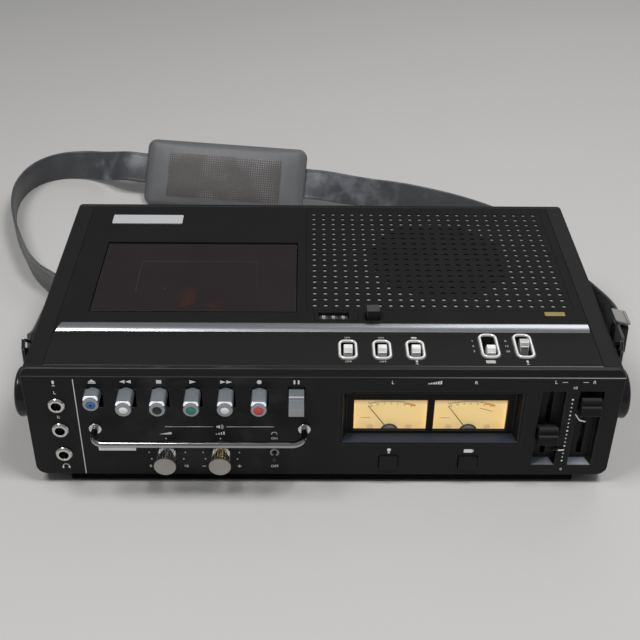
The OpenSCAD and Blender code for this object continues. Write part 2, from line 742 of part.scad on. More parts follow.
// Openings through the deck plate
module lid_hole() box_2d(lid_x0 - lid_gap, lid_front - lid_gap, lid_x1 + lid_gap, lid_y1 + lid_gap);
function switch_y(i) = i < 3 ? switch_back : long_back;
function bezel_len(i) = i < 3 ? switch_len : long_len;
module switch_outline(i, inset) {
    x = xr - switch_right[i];
    w = switch_w/2 - inset;
    l = bezel_len(i)/2 - inset;
    c = 3.2;
    translate([x, switch_y(i)]) polygon([[-w, c - l], [c - w, -l], [w - c, -l], [w, c - l],
        [w, l - c], [w - c, l], [c - w, l], [-w, l - c]]);
}
module grille_outline(grow) {
    round_box(grille_x0 - grow, grille_front - grow, grille_x1 + grow, grille_y1 + grow, 2);
}
module deck_panel() {
    color("#262629") flat(under_z, deck_t) difference() {
        box_2d(-deck_x, deck_y0, deck_x, deck_y1);
        lid_hole();
        grille_outline(seam);
        for (i = [0:len(switch_right) - 1]) switch_outline(i, 1);
        translate([counter_x, counter_front]) square(counter_size);
        translate([reset_x - run_gap, reset_y - run_gap]) square(reset_size + 2*[run_gap, run_gap]);
    }
}
module trim_bar() {
    y1 = trim_front + trim_d;
    color("#c9ccd2") across(-deck_x + 1, 2*deck_x - 2) polygon([[trim_front, case_h], [y1, case_h],
        [y1 - 1.5, case_h + trim_h], [trim_front + 3, case_h + trim_h]]);
}
module speaker_grille() {
    color("#262629") flat(under_z, deck_t) difference() {
        grille_outline(0);
        for (i = [0:grille_cols - 1], j = [0:grille_rows - 1])
            translate([grille_x0 + grille_margin + i*hole_pitch,
                       grille_front + grille_margin + j*hole_pitch])
                circle(d = hole_dia);
    }
}
module speaker() {
    top = under_z - baffle_t;
    rim = 5;
    magnet_r = 27;
    magnet_t = 14;
    color("#b9babd") flat(top, baffle_t) difference() {
        round_box(grille_x0 - baffle_over, grille_front + 0.4, grille_x1 + baffle_over,
            grille_y1 + baffle_over, 2);
        translate([speaker_x, speaker_y]) circle(mouth_r);
    }
    color("#17171a") translate([speaker_x, speaker_y, top]) rotate_extrude() polygon([
        [0, -speaker_d], [magnet_r, -speaker_d], [magnet_r, magnet_t - speaker_d],
        [magnet_r - 6, magnet_t - speaker_d],
        [mouth_r, -3], [mouth_r + rim, -3], [mouth_r + rim, 0], [mouth_r, 0], [mouth_r - 4, -2],
        [15, 6 - speaker_d/2],
        [11, 8 - speaker_d/2], [0, 10 - speaker_d/2]]);
}

// The cassette well and the tape transport
module cassette_well() {
    x0 = lid_x0 - lid_gap;
    x1 = lid_x1 + lid_gap;
    color("#2b2b2e") difference() {
        union() {
            flat(chassis_z, well_depth) difference() {
                box_2d(x0 - well_t, lid_front - lid_gap - well_t, x1 + well_t, lid_y1 + lid_gap + well_t);
                lid_hole();
            }
            rod_x(x0 - well_t, x0 + stub_len, hinge_y, hinge_z, stub_r);
            rod_x(x1 - stub_len, x1 + well_t, hinge_y, hinge_z, stub_r);
        }
        for (x = [x0 - well_t - cut, x1]) bar(x, x + well_t + cut, hinge_y - 3, hinge_y + 3, under_z,
            case_h);
    }
}
module mechanism_chassis() {
    z0 = min(key_z - hub_r, chassis_low);
    z1 = max(key_z + hub_r, chassis_z);
    color("#9a9da1") difference() {
        union() {
            flat(chassis_low, chassis_t) {
                box_2d(chassis_x0, chassis_y0, chassis_x1, chassis_y1);
                box_2d(bracket_x0 - bracket_t, strip_y, bracket_x1 + bracket_t, chassis_y0 + cut);
            }
            for (x = [bracket_x0 - bracket_t, bracket_x1]) across(x, bracket_t)
                box_2d(shaft_back - hub_r, z0, strip_y + 4, z1);
            rod_x(bracket_x0 - bracket_t, bracket_x1 + bracket_t, shaft_back, key_z, shaft_r);
            rod_z(capstan_x, capstan_y, chassis_low - bearing_len, chassis_z, bearing_r);
        }
        rod_z(capstan_x, capstan_y, chassis_low - bearing_len - cut, chassis_z + cut, capstan_r + shaft_gap);
        for (side = [-1, 1]) rod_z(tape_x + side*hub_pitch/2, hub_y, chassis_low - cut, chassis_z + cut,
            1.5 + shaft_gap);
    }
}
module spindle(x) {
    fin = 1.4;
    disc_z = chassis_z + 0.4;
    color("#d5d6d8") {
        rod_z(x, hub_y, chassis_low - 4, chassis_z + spindle_h, 1.5);
        rod_z(x, hub_y, disc_z, disc_z + 1.6, reel_r);
        rod_z(x, hub_y, disc_z, chassis_z + spindle_h, 3);
        for (a = [0, 120, 240]) translate([x, hub_y, disc_z]) rotate([0, 0, a])
            translate([0, -fin/2, 0]) cube([4.4, fin, spindle_h - 1.4]);
    }
}
module supply_spindle() spindle(tape_x - hub_pitch/2);
module takeup_spindle() spindle(tape_x + hub_pitch/2);
module flywheel() {
    rim = 7;
    web = 4;
    color("#b5a67c") {
        translate([capstan_x, capstan_y, flywheel_z]) rotate_extrude() polygon([[0, 2],
            [flywheel_r - rim, 2],
            [flywheel_r - rim, 0], [flywheel_r, 0], [flywheel_r, flywheel_t], [flywheel_r - rim, flywheel_t],
            [flywheel_r - rim, 2 + web], [6, 2 + web], [6, flywheel_t + 1], [0, flywheel_t + 1]]);
        rod_z(capstan_x, capstan_y, flywheel_z + 3, chassis_z + spindle_h, capstan_r);
    }
}
module drive_motor() {
    color("#a9acb0") difference() {
        union() {
            rod_z(motor_x, motor_y, motor_z, chassis_low, motor_r);
            rod_z(motor_x, motor_y, motor_z - 0.5, motor_z + 1, 5);
        }
        rod_z(motor_x, motor_y, motor_z - 2, motor_z + 8, 1 + shaft_gap);
    }
}
module motor_pulley() {
    color("#c2b27d") {
        translate([motor_x, motor_y, belt_z - 1.5]) rotate_extrude() polygon([[0, 0], [pulley_r + 1, 0],
            [pulley_r + 1, 1], [pulley_r, 1.2], [pulley_r, belt_w + 1.8], [pulley_r + 1, belt_w + 2],
            [pulley_r + 1, belt_w + 2.5], [0, belt_w + 2.5]]);
        rod_z(motor_x, motor_y, belt_z, motor_z + 6, 1);
    }
}
// Loop of a belt round both wheels, grown by g
module belt_2d(g) {
    d = norm([motor_x - capstan_x, motor_y - capstan_y]);
    a = atan2(motor_y - capstan_y, motor_x - capstan_x);
    big = flywheel_r + g;
    small = pulley_r + g;
    lean = acos((big - small)/d);
    translate([capstan_x, capstan_y]) rotate(a) polygon(concat(
        arc(0, 0, big, lean, 360 - lean, 40), arc(d, 0, small, -lean, lean, 12)));
}
module drive_belt() {
    color("#141415") flat(belt_z, belt_w) difference() {
        belt_2d(belt_gap + belt_t);
        belt_2d(belt_gap);
    }
}
module head_base() {
    z = head_z + head_t;
    head_w = 14;
    head_h = 9;
    y1 = tape_y - 0.8;
    color("#b7babd") {
        flat(head_z, head_t) box_2d(tape_x - head_base_w/2, head_y, tape_x + head_base_w/2, y1);
        bar(tape_x - head_w/2, tape_x + head_w/2, head_y + 0.5, y1 - 4, z - 0.1, z + head_h);
        rod_z(tape_x, y1 - 5, z - 0.1, z + head_h, 5);
        bar(tape_x - head_w - 8, tape_x - head_w, head_y + 1, y1 - 2, z - 0.1, z + head_h - 1);
        rod_z(capstan_x, pinch_y, z - 0.1, z + 9, 1.2);
    }
}
module pinch_roller() {
    z = head_z + head_t + 0.8;
    color("#1a1a1b") difference() {
        rod_z(capstan_x, pinch_y, z, z + 7, pinch_r);
        rod_z(capstan_x, pinch_y, z - cut, z + 7 + cut, 1.2 + shaft_gap);
    }
}
module cassette_lid() {
    bore = stub_r + shaft_gap;
    x_mid = (lid_x0 + lid_x1)/2;
    y_mid = lid_front + window_back + window[1]/2;
    color("#3a3335") difference() {
        across(lid_x0, lid_w) polygon(concat([[lid_front, lid_z], [lid_front, case_h]],
            arc(hinge_y, hinge_z, barrel_r, 90, -180, 16), [[hinge_y - barrel_r, lid_z]]));
        rod_x(lid_x0 - cut, lid_x0 + stub_len + 0.5, hinge_y, hinge_z, bore);
        rod_x(lid_x1 - stub_len - 0.5, lid_x1 + cut, hinge_y, hinge_z, bore);
        flat(case_h - window_step, window_step + cut) round_box(x_mid - window[0]/2, y_mid - window[1]/2,
            x_mid + window[0]/2, y_mid + window[1]/2, 1.5);
    }
}
module cassette_holder() {
    sheet = 1.2;
    lip = 4;
    lip_z = chassis_z + 3;
    y0 = tape_y + 4;
    color("#3c3c40") for (side = [0, 1]) translate([tape_x, 0, 0]) mirror([side, 0, 0]) {
        x = cassette_w/2;
        face(y0, cassette_d - 4) polygon([[x - lip, lip_z], [x + sheet, lip_z], [x + sheet, lid_z],
            [x, lid_z], [x, lip_z + sheet], [x - lip, lip_z + sheet]]);
    }
}

// Lever keys on the key shaft
module key_hub(x) {
    lever_w = 4;
    lever_h = 8;
    difference() {
        union() {
            bar(x - lever_w/2, x + lever_w/2, lip_d, shaft_back, key_z - lever_h/2, key_z + lever_h/2);
            rod_x(x - lever_w, x + lever_w, shaft_back, key_z, hub_r);
        }
        rod_x(x - lever_w - cut, x + lever_w + cut, shaft_back, key_z, shaft_r + shaft_gap);
    }
}
module round_key(i, reach, tint) {
    x = key_x(i);
    y0 = 0.7 - reach;
    top = key_z + key_r;
    w = key_r - 0.15;
    shoulder = w - key_flat/2;
    color(tint) union() {
        difference() {
            union() {
                rod_y(x, y0, lip_d + 3, key_z, key_r);
                face(y0, -y0 - 1.2) translate([x, key_z]) polygon(concat([[-w, 0], [w, 0]],
                    arc(w - shoulder, key_r - shoulder, shoulder, 0, 90, 4),
                    arc(shoulder - w, key_r - shoulder, shoulder, 90, 180, 4)));
            }
            across(x - key_r - cut, key_dia + 2*cut) polygon([[y0 - cut, top - facet - cut],
                [y0 + facet + cut, top + cut], [y0 - cut, top + cut]]);
        }
        difference() {
            rod_y(x, -reach, y0 + cut, key_z, key_r - 0.1);
            rod_y(x, -reach - cut, 0.4 - reach, key_z - 0.4, dot_r);
        }
        key_hub(x);
    }
}
module key_eject() round_key(0, eject_reach, "#7f8791");
module key_rewind() round_key(1, key_reach, "#7f8791");
module key_stop() round_key(2, key_reach, "#7f8791");
module key_play() round_key(3, key_reach, "#7f8791");
module key_forward() round_key(4, key_reach, "#7f8791");
module key_record() round_key(5, key_reach, "#7f8791");
module key_pause() {
    reach = key_reach + 1;
    top = key_z + 4;
    color("#7f8791") union() {
        across(pause_x - pause_w/2, pause_w) polygon([[lip_d + 3, key_z - 4], [-reach, key_z - 4],
            [-reach, key_z + 1.6], [-reach/2, key_z + 2.4], [-reach/2, top], [1 - reach/2, top + 0.6],
            [2.4 - reach/2, top - 0.4], [lip_d + 3, top]]);
        key_hub(pause_x);
    }
}
module key_guard() {
    x0 = key_x(0) - 1.5;
    x1 = pause_x + 5;
    r = guard_dia/2;
    run = guard_reach - guard_bend;
    color("#d3d5d9") {
        for (x = [x0, x1]) {
            rod_y(x, -run, 0, guard_z, r);
            rod_y(x, -1.5, 0, guard_z, r + 1.9);
        }
        rod_x(x0 + guard_bend, x1 - guard_bend, -guard_reach, guard_z, r);
        translate([x0 + guard_bend, -run, guard_z]) rotate([0, 0, 180]) rotate_extrude(angle = 90)
            translate([guard_bend, 0]) circle(r);
        translate([x1 - guard_bend, -run, guard_z]) rotate([0, 0, 270]) rotate_extrude(angle = 90)
            translate([guard_bend, 0]) circle(r);
    }
}
module phone_jacks() {
    half = jack_body/2;
    color("#cfd1d4") for (z = jack_z) difference() {
        union() {
            translate([jack_x, 0, z]) rotate([90, 0, 0]) rotate_extrude() polygon([[0, 0], [jack_ring_r, 0],
                [jack_ring_r, 0.4*jack_ring_t], [jack_ring_r - 0.5*jack_ring_t, jack_ring_t],
                [0, jack_ring_t]]);
            rod_y(jack_x, -0.1, front_t, z, jack_r + jack_wall);
            bar(jack_x - half, jack_x + half, front_t, jack_depth + 2*jack_ring_t, z - half, z + half);
        }
        rod_y(jack_x, -jack_ring_t - cut, jack_depth - jack_ring_t, z, jack_r);
    }
}

// Rotary and slide controls behind the front panel
module potentiometers() {
    body_r = 8;
    body_d = 11;
    bushing_out = 1;
    color("#8d9094") {
        for (x = [volume_x, tone_x]) difference() {
            union() {
                rod_y(x, -0.6, front_t + cut, knob_z, pot_hole_r);
                rod_y(x, front_t, front_t + body_d, knob_z, body_r);
            }
            rod_y(x, -cut, front_t + body_d - 2, knob_z, stem_r + shaft_gap);
        }
        difference() {
            union() {
                rod_y(toggle_x, -bushing_out, 0, toggle_z, bushing_r);
                rod_y(toggle_x, -0.1, front_t + cut, toggle_z, bushing_r - 0.6);
                bar(toggle_x - 4, toggle_x + 4, front_t, front_t + 10, toggle_z - 6, toggle_z + 6);
            }
            rod_y(toggle_x, -bushing_out - cut, front_t + 4, toggle_z, bushing_r - 0.7 - 0.6);
        }
        for (side = [-1, 1]) difference() {
            x = level_x + side*level_pitch/2;
            y = channel_d + channel_back;
            bar(x - 5, x + 5, y, y + track_d, level_low - 8, level_low + level_travel + 8);
            bar(x - slot_w/2, x + slot_w/2, y - cut, y + 5, level_low - 4, level_low + level_travel + 4);
        }
    }
}
module knob(x) {
    r = knob_dia/2;
    end_y = knob_end_t - knob_reach;
    color("#c8c9c6") {
        rod_y(x, end_y - 0.1, front_t + 6, knob_z, stem_r);
        face(end_y, -end_y - 1.2) translate([x, knob_z]) difference() {
            circle(r);
            for (a = [0:360/knob_ribs:359]) rotate(a) translate([r + 0.25, 0]) circle(0.6, $fn = 16);
        }
        translate([x, 0, knob_z]) rotate([90, 0, 0]) rotate_extrude() polygon([[0, -end_y],
            [knob_end_dia/2, -end_y],
            [knob_end_dia/2, knob_reach - 0.3], [knob_end_dia/2 - 0.4, knob_reach], [0, knob_reach]]);
    }
}
module volume_knob() knob(volume_x);
module tone_knob() knob(tone_x);
module monitor_toggle() {
    color("#2c2c2e") translate([toggle_x, 2, toggle_z]) rotate([toggle_tilt, 0, 0]) {
        rotate([90, 0, 0]) cylinder(h = 8, r = 1);
        translate([0, -8, 0]) sphere(1.5);
        rod_x(-0.9, 0.9, 0, 0, 1.2);
    }
}
module push_button(x) {
    color("#131314") {
        face(-button_out, button_out + front_t - 1) translate([x, 0])
            round_box(-button_w/2, button_z - button_h/2, button_w/2, button_z + button_h/2, 0.8);
        bar(x - 2.5, x + 2.5, front_t - 1.1, front_t + 4, button_z - 2.5, button_z + 2.5);
    }
}
module light_button() push_button(meter_x - button_side);
module battery_check_button() push_button(meter_x + button_side);

// The meters
module meter_bezel() {
    back_t = 2;
    floor_y = bezel_d - back_t;
    pane = 1.2;
    x0 = meter_x - bezel_w/2;
    z1 = bezel_z + bezel_h;
    color("#1b1b1d") difference() {
        face(0, bezel_d) meter_mouth(0);
        intersection() {
            flat(bezel_z - cut, bezel_h + 2*cut) polygon([[x0 + 1.5, -cut], [x0 + bezel_w - 1.5, -cut],
                [x0 + bezel_w - bezel_draw, floor_y], [x0 + bezel_draw, floor_y]]);
            across(x0, bezel_w) polygon([[-cut, bezel_z + 1.2], [floor_y, bezel_z + 3],
                [floor_y, z1 - bezel_draw], [-cut, z1 - 1.5]]);
        }
        for (side = [-1, 1]) translate([meter_x + side*meter_pitch/2, 0, window_low]) {
            bar(-meter_w/2, meter_w/2, floor_y - cut, bezel_d + cut, 0, meter_h);
        }
    }
    color("#d8d2c0") for (side = [-1, 1]) translate([meter_x + side*meter_pitch/2, 0, window_low])
        bar(-meter_w/2, meter_w/2, bezel_d - pane, bezel_d, 0, meter_h);
}
module meters() {
    shell = 1.5;
    dial_y = meter_y + 3.2;
    color("#e6c887") for (side = [-1, 1]) translate([meter_x + side*meter_pitch/2, 0, window_low]) {
        w = meter_w/2 + shell;
        difference() {
            bar(-w, w, meter_y, meter_y + meter_d, -pivot_low - 3, meter_h + shell);
            bar(-meter_w/2, meter_w/2, meter_y - cut, dial_y, -pivot_low - 1.5, meter_h);
        }
        rod_y(0, meter_y + 0.6, dial_y + cut, -pivot_low, 0.6);
    }
}
module needle(side) {
    hub = 1.6;
    thick = 0.8;
    color("#2a1c12") translate([meter_x + side*meter_pitch/2, 0, window_low - pivot_low])
        rotate([0, -needle_rest, 0])
        difference() {
            union() {
                rod_y(0, needle_y, needle_y + thick, 0, hub - 0.3);
                bar(-0.3, 0.3, needle_y, needle_y + 0.5, 0, needle_len);
            }
            rod_y(0, needle_y - cut, needle_y + thick + cut, 0, 0.6 + shaft_gap);
        }
}
module needle_left() needle(-1);
module needle_right() needle(1);

// Level knobs with a finger ridge and a pointer towards the scale
module level_knob(side, level, tip) {
    x = level_x + side*level_pitch/2;
    z = level_low + level;
    w = level_knob_w/2;
    h = level_knob_h/2;
    back = channel_d - run_gap;
    ridge = 4.6;
    step = 1.7;
    drop = h + 7;
    color("#151516") {
        across(x - w, level_knob_w) polygon([[back, z - h], [1 - level_reach, z - h],
            [-level_reach, z - h + 1], [-level_reach, z + h - ridge],
            [step - level_reach, z + h - ridge + 0.4],
            [step - level_reach, z + h - 0.5], [step + 0.5 - level_reach, z + h], [0.4, z + h],
            [0.9, z + h - ridge/2], [back, z + h - ridge/2]]);
        bar(x - (slot_w/2 - 0.5), x + (slot_w/2 - 0.5), back - cut, channel_d + channel_back + 3.5, z - 3,
            z + 3);
        translate([x, 0, z]) mirror([side > 0 ? 1 : 0, 0, 0]) face(-1.4, 0.9) {
            box_2d(0, -drop, 2.4, cut - h);
            polygon(concat([[0, -drop]], [for (p = tip) p + [0, -drop]],
                [for (i = [len(tip) - 1:-1:0]) tip[i] + [0, 1.2 - drop]], [[0, 1.2 - drop]]));
        }
    }
}
module level_knob_left() level_knob(-1, left_level, [[level_pitch/2, 0.4]]);
module level_knob_right() level_knob(1, right_level, [[5.7, 1.4], [9, 6.4]]);

// Slide switches in the control strip
function well_len(i) = bezel_len(i) - 2*rim_w;
module slide_switches() {
    floor_t = 3;
    color("#c4c7cb") for (i = [0:len(switch_right) - 1]) difference() {
        union() {
            flat(case_h, rim_h) switch_outline(i, 0);
            flat(under_z - 0.1, deck_t + 0.2) switch_outline(i, 1 + seam);
            flat(under_z - switch_d, switch_d) switch_outline(i, 0.5);
        }
        flat(under_z - switch_d + floor_t, switch_d + deck_t + rim_h + cut)
            translate([xr - switch_right[i], switch_y(i)])
            square([switch_w - 2*rim_w, well_len(i)], center = true);
    }
}
// Knob of switch i, moved by from the middle of its travel
module switch_knob(i, from) {
    w = (switch_w - 2*rim_w)/2 - run_gap;
    l = slider_len/2;
    z0 = under_z - switch_d + 3 + run_gap;
    top = case_h + slider_h;
    color("#dfe1e4") translate([xr - switch_right[i], switch_y(i) + from, 0]) {
        flat(z0, top - 2.5 - z0) square([2*w, 2*l], center = true);
        translate([-w, 0, 0]) across(0, 2*w) polygon([[-l, top - 2.6], [l, top - 2.6],
            [l - 1.6, top], [1.6 - l, top]]);
    }
}
module noise_switch() switch_knob(0, -short_travel/2);
module limiter_switch() switch_knob(1, -short_travel/2);
module input_switch() switch_knob(2, -short_travel/2);
module tape_switch() switch_knob(3, -long_travel/2);
module microphone_switch() switch_knob(4, 0);

// Tape counter
module counter_frame() {
    plate = 1;
    x1 = wheel_x + 3*wheel_pitch + 0.4;
    y0 = counter_front + seam;
    y1 = counter_front + counter_size[1] - seam;
    y_mid = (y0 + y1)/2;
    color("#2a2a2c") {
        flat(under_z, deck_t) difference() {
            box_2d(counter_x + seam, y0, counter_x + counter_size[0] - seam, y1);
            box_2d(wheel_x - 0.4, y0 + counter_rim, x1, y1 - counter_rim);
        }
        for (x = [wheel_x - 0.4 - plate, x1]) bar(x, x + plate, y0, y1, counter_z - wheel_r, under_z + 0.1);
        rod_x(wheel_x - 0.4 - plate, x1 + plate, y_mid, counter_z, axle_r);
    }
}
module counter_wheel(i) {
    y_mid = counter_front + counter_size[1]/2;
    x = wheel_x + i*wheel_pitch;
    color("#ececea") difference() {
        rod_x(x, x + wheel_w, y_mid, counter_z, wheel_r);
        rod_x(x - cut, x + wheel_w + cut, y_mid, counter_z, axle_r + shaft_gap);
    }
}
module counter_wheel_hundreds() counter_wheel(0);
module counter_wheel_tens() counter_wheel(1);
module counter_wheel_units() counter_wheel(2);
module counter_reset() {
    stem = 5;
    collar = 1.2;
    low = under_z - run_gap;
    color("#2b2b2d") translate([reset_x, reset_y, 0]) {
        flat(low, case_h + reset_h - low) round_box(0, 0, reset_size[0], reset_size[1], 0.8);
        flat(low - collar, collar + 0.1) box_2d(-collar, -collar, reset_size[0] + collar,
            reset_size[1] + collar);
        flat(low - stem, stem) box_2d(2, 2, reset_size[0] - 2, reset_size[1] - 2);
    }
}

module circuit_board() {
    top = board_z + board_t;
    board_w = board_x1() - board_x0();
    color("#2f6b45") {
        flat(board_z, board_t) box_2d(board_x0(), board_front, board_x1(), board_front + board_d);
        for (i = [0:5]) rod_z(board_x0() + (i + 0.8)*board_w/7, board_front + 0.61*board_d, top - 0.1,
            top + capacitor_h, capacitor_dia/2);
        for (i = [0:3]) bar(board_x0() + (i + 0.4)*board_w/4.5,
            board_x0() + (i + 0.4)*board_w/4.5 + chip_len,
            board_front + 0.2*board_d, board_front + 0.2*board_d + 0.4*chip_len, top - 0.1,
                top + 0.2*chip_len);
    }
}
module rear_sockets() {
    t = 2;
    x0 = xl + pocket_left;
    x1 = x0 + pocket_size[0];
    z1 = pocket_z + pocket_size[1];
    floor_y = rear_y - pocket_d;
    color("#2a2a2c") difference() {
        union() {
            difference() {
                bar(x0 - t, x1 + t, floor_y - t, rear_y, pocket_z - t, z1 + t);
                bar(x0, x1, floor_y, rear_y + cut, pocket_z, z1);
            }
            for (i = [0:3]) rod_y(x0 + 10 + i*line_pitch, floor_y - 0.1, rear_y + wall - 1,
                (pocket_z + z1)/2, line_r);
        }
        for (i = [0:3]) rod_y(x0 + 10 + i*line_pitch, floor_y - 1, rear_y + wall, (pocket_z + z1)/2, 1.6);
        rod_y(x1 - 10, floor_y - 1, rear_y, (pocket_z + z1)/2, 2.8);
    }
}

// Strap lugs: a domed disc on each side, with the loop that the strap is sewn to
module strap_lugs() {
    dome = 0.3*lug_out;
    half = strap_w/2 + 1;
    bar_d = 2;
    color("#3a3a3d") for (side = [0, 1]) mirror([side, 0, 0]) {
        translate([xr, lug_back, lug_z]) rotate([0, 90, 0]) rotate_extrude() polygon(concat([[0, 0],
            [lug_r - 1, 0]],
            arc(lug_r - dome, lug_out - dome, dome, 0, 90), [[0.3*lug_r, lug_out],
                [0.25*lug_r, lug_out - 1], [0, lug_out - 1]]));
        translate([xr + loop_in, lug_back, lug_z]) rotate([loop_tilt, 0, 0]) difference() {
            across(0, loop_t) polygon([[lug_r - 3, -half/2.5], [loop_reach - 3.5*bar_d, -half],
                [loop_reach, -half],
                [loop_reach, half], [loop_reach - 3.5*bar_d, half], [lug_r - 3, half/2.5]]);
            bar(-cut, loop_t + cut, loop_reach - 2.75*bar_d, loop_reach - bar_d, 1.5 - half, half - 1.5);
        }
    }
}
// Direction of the strap's route at point i, and its upward edge direction there
function unit(v) = v/norm(v);
function last_of(r) = len(r) - 1;
function spot(p) = [p[0], p[1], p[2]];
function along(r, i) = unit(spot(r[min(i + 1, last_of(r))]) - spot(r[max(i - 1, 0)]));
function edge_up(t, a) = let(u = unit([0, 0, 1] - t[2]*t)) cos(a)*u - sin(a)*cross(t, u);
function strap_ring(r, i) =
    let(t = along(r, i), e = edge_up(t, r[i][3]), u = e*strap_w/2, n = cross(t, e)*strap_t/2, p = spot(r[i]))
    [p - u - n, p - u + n, p + u + n, p + u - n];
module shoulder_strap() {
    n = len(strap_route);
    pts = [for (i = [0:n - 1]) each strap_ring(strap_route, i)];
    sides = [for (i = [0:n - 2], k = [0:3]) let(a = 4*i + k, b = 4*i + (k + 1)%4)
        each [[a, b, b + 4], [a, b + 4, a + 4]]];
    m = 4*(n - 1);
    ends = [[0, 2, 1], [0, 3, 2], [m, m + 1, m + 2], [m, m + 2, m + 3]];
    color("#2e2e30") polyhedron(pts, concat(sides, ends));
}
// Shoulder pad: a crowned front on a flat back
module strap_pad() {
    nx = 20;
    nz = 10;
    function swell(u, v) = pad_rim + (pad_t - pad_rim)*(1 - pow(u, 4))*(1 - pow(v, 4));
    function draw(u) = 1 - 0.03*u*u;
    function pad_point(i, j, front) = let(u = 2*i/nx - 1, v = 2*j/nz - 1)
        [u*pad_len/2*draw(v), front ? -swell(u, v) : 0, v*draw(u)*pad_h/2];
    function at(i, j) = i*(nz + 1) + j;
    half = (nx + 1)*(nz + 1);
    pts = [for (front = [true, false], i = [0:nx], j = [0:nz]) pad_point(i, j, front)];
    quads = [for (i = [0:nx - 1], j = [0:nz - 1]) each [
        [at(i, j), at(i + 1, j + 1), at(i + 1, j)], [at(i, j), at(i, j + 1), at(i + 1, j + 1)],
        [half + at(i, j), half + at(i + 1, j), half + at(i + 1, j + 1)],
        [half + at(i, j), half + at(i + 1, j + 1), half + at(i, j + 1)]]];
    loop = concat([for (i = [0:nx - 1]) at(i, 0)], [for (j = [0:nz - 1]) at(nx, j)],
        [for (i = [nx:-1:1]) at(i, nz)], [for (j = [nz:-1:1]) at(0, j)]);
    rim = [for (k = [0:len(loop) - 1]) let(a = loop[k], b = loop[(k + 1)%len(loop)])
        each [[a, b, half + b], [a, half + b, half + a]]];
    color("#2b2b2d") translate([pad_x, pad_y, pad_z]) rotate([-pad_lean, 0, pad_turn])
        polyhedron(pts, concat(quads, rim));
}

// Stands a piece in the deck's own frame, under whose middle the origin lies
module place() translate([0, origin_y, 0]) children();

place() front_panel();
place() side_panels();
place() rear_panel();
place() bottom_cover();
place() deck_panel();
place() trim_bar();
place() speaker_grille();
place() speaker();
place() rubber_feet();
place() battery_cells();
place() cassette_well();
place() mechanism_chassis();
place() drive_motor();
place() drive_belt();
place() key_guard();
place() phone_jacks();
place() potentiometers();
place() meter_bezel();
place() meters();
place() slide_switches();
place() counter_frame();
place() circuit_board();
place() rear_sockets();
place() strap_lugs();
place() shoulder_strap();
place() strap_pad();
place() battery_door();
place() cassette_lid();
place() cassette_holder();
place() supply_spindle();
place() takeup_spindle();
place() flywheel();
place() motor_pulley();
place() head_base();
place() pinch_roller();
place() key_eject();
place() key_rewind();
place() key_stop();
place() key_play();
place() key_forward();
place() key_record();
place() key_pause();
place() volume_knob();
place() tone_knob();
place() monitor_toggle();
place() light_button();
place() battery_check_button();
place() needle_left();
place() needle_right();
place() level_knob_left();
place() level_knob_right();
place() noise_switch();
place() limiter_switch();
place() input_switch();
place() tape_switch();
place() microphone_switch();
place() counter_reset();
place() counter_wheel_units();
place() counter_wheel_tens();
place() counter_wheel_hundreds();
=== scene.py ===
import json
from math import copysign, cos, pi, radians, sin

import bmesh
import bpy
from mathutils import Matrix, Vector

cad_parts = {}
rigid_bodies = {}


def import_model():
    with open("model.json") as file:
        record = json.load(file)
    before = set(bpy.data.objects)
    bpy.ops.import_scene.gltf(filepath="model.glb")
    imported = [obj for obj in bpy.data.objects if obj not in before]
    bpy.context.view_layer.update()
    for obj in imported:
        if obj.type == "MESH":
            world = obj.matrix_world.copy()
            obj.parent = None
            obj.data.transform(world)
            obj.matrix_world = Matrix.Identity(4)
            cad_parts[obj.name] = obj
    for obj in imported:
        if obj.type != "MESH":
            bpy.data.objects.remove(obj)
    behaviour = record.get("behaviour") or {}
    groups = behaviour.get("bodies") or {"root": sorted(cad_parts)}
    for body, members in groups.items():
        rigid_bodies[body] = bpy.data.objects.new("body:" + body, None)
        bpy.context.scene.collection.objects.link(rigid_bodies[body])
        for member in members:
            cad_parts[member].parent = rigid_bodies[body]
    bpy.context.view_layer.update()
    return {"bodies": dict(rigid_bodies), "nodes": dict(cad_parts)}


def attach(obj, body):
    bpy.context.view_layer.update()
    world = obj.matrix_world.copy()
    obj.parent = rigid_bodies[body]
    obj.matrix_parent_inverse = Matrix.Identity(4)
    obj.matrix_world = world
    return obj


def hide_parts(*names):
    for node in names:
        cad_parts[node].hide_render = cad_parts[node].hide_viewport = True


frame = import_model()
frontY = -96.925  # where the front face stands in the frame
deckZ = 93.0
mm = 0.001


def spot(x, y, z):
    return Vector((x, y + frontY, z)) * mm


def addObject(name, data):
    made = bpy.data.objects.new(name, data)
    bpy.context.collection.objects.link(made)
    return made


# Camera
shot = {"place": (-13.0, -527.5, 498.7), "pitch": 34.81, "yaw": 1.06, "roll": 0.85, "lens": 60.775, "sensor": 36,
        "near": 0.01}


def aimCamera():
    pitch, yaw, roll = (radians(shot[k]) for k in ("pitch", "yaw", "roll"))
    ahead = Vector((sin(yaw) * cos(pitch), cos(yaw) * cos(pitch), -sin(pitch)))
    level = Vector((cos(yaw), -sin(yaw), 0))
    right = cos(roll) * level + sin(roll) * level.cross(ahead)
    camera = bpy.data.cameras.new("photoCamera")
    camera.lens, camera.sensor_width, camera.clip_start = shot["lens"], shot["sensor"], shot["near"]
    rig = bpy.context.scene.camera = addObject("photoCamera", camera)
    turn = Matrix((right, right.cross(ahead), -ahead)).transposed()
    rig.matrix_world = Matrix.Translation(spot(*shot["place"])) @ turn.to_4x4()


aimCamera()


# Shader nodes
def feed(look, socket, source):  # links an output, or sets a plain value
    if isinstance(source, bpy.types.NodeSocket):
        look.node_tree.links.new(source, socket)
    else:
        socket.default_value = source


def addNode(look, kind, inputs, **settings):
    made = look.node_tree.nodes.new("ShaderNode" + kind)
    for name, value in settings.items():
        setattr(made, name, value)
    for key, source in inputs.items():
        feed(look, made.inputs[key], source)
    return made.outputs


def shaderOf(look):
    return look.node_tree.nodes["Principled BSDF"].inputs


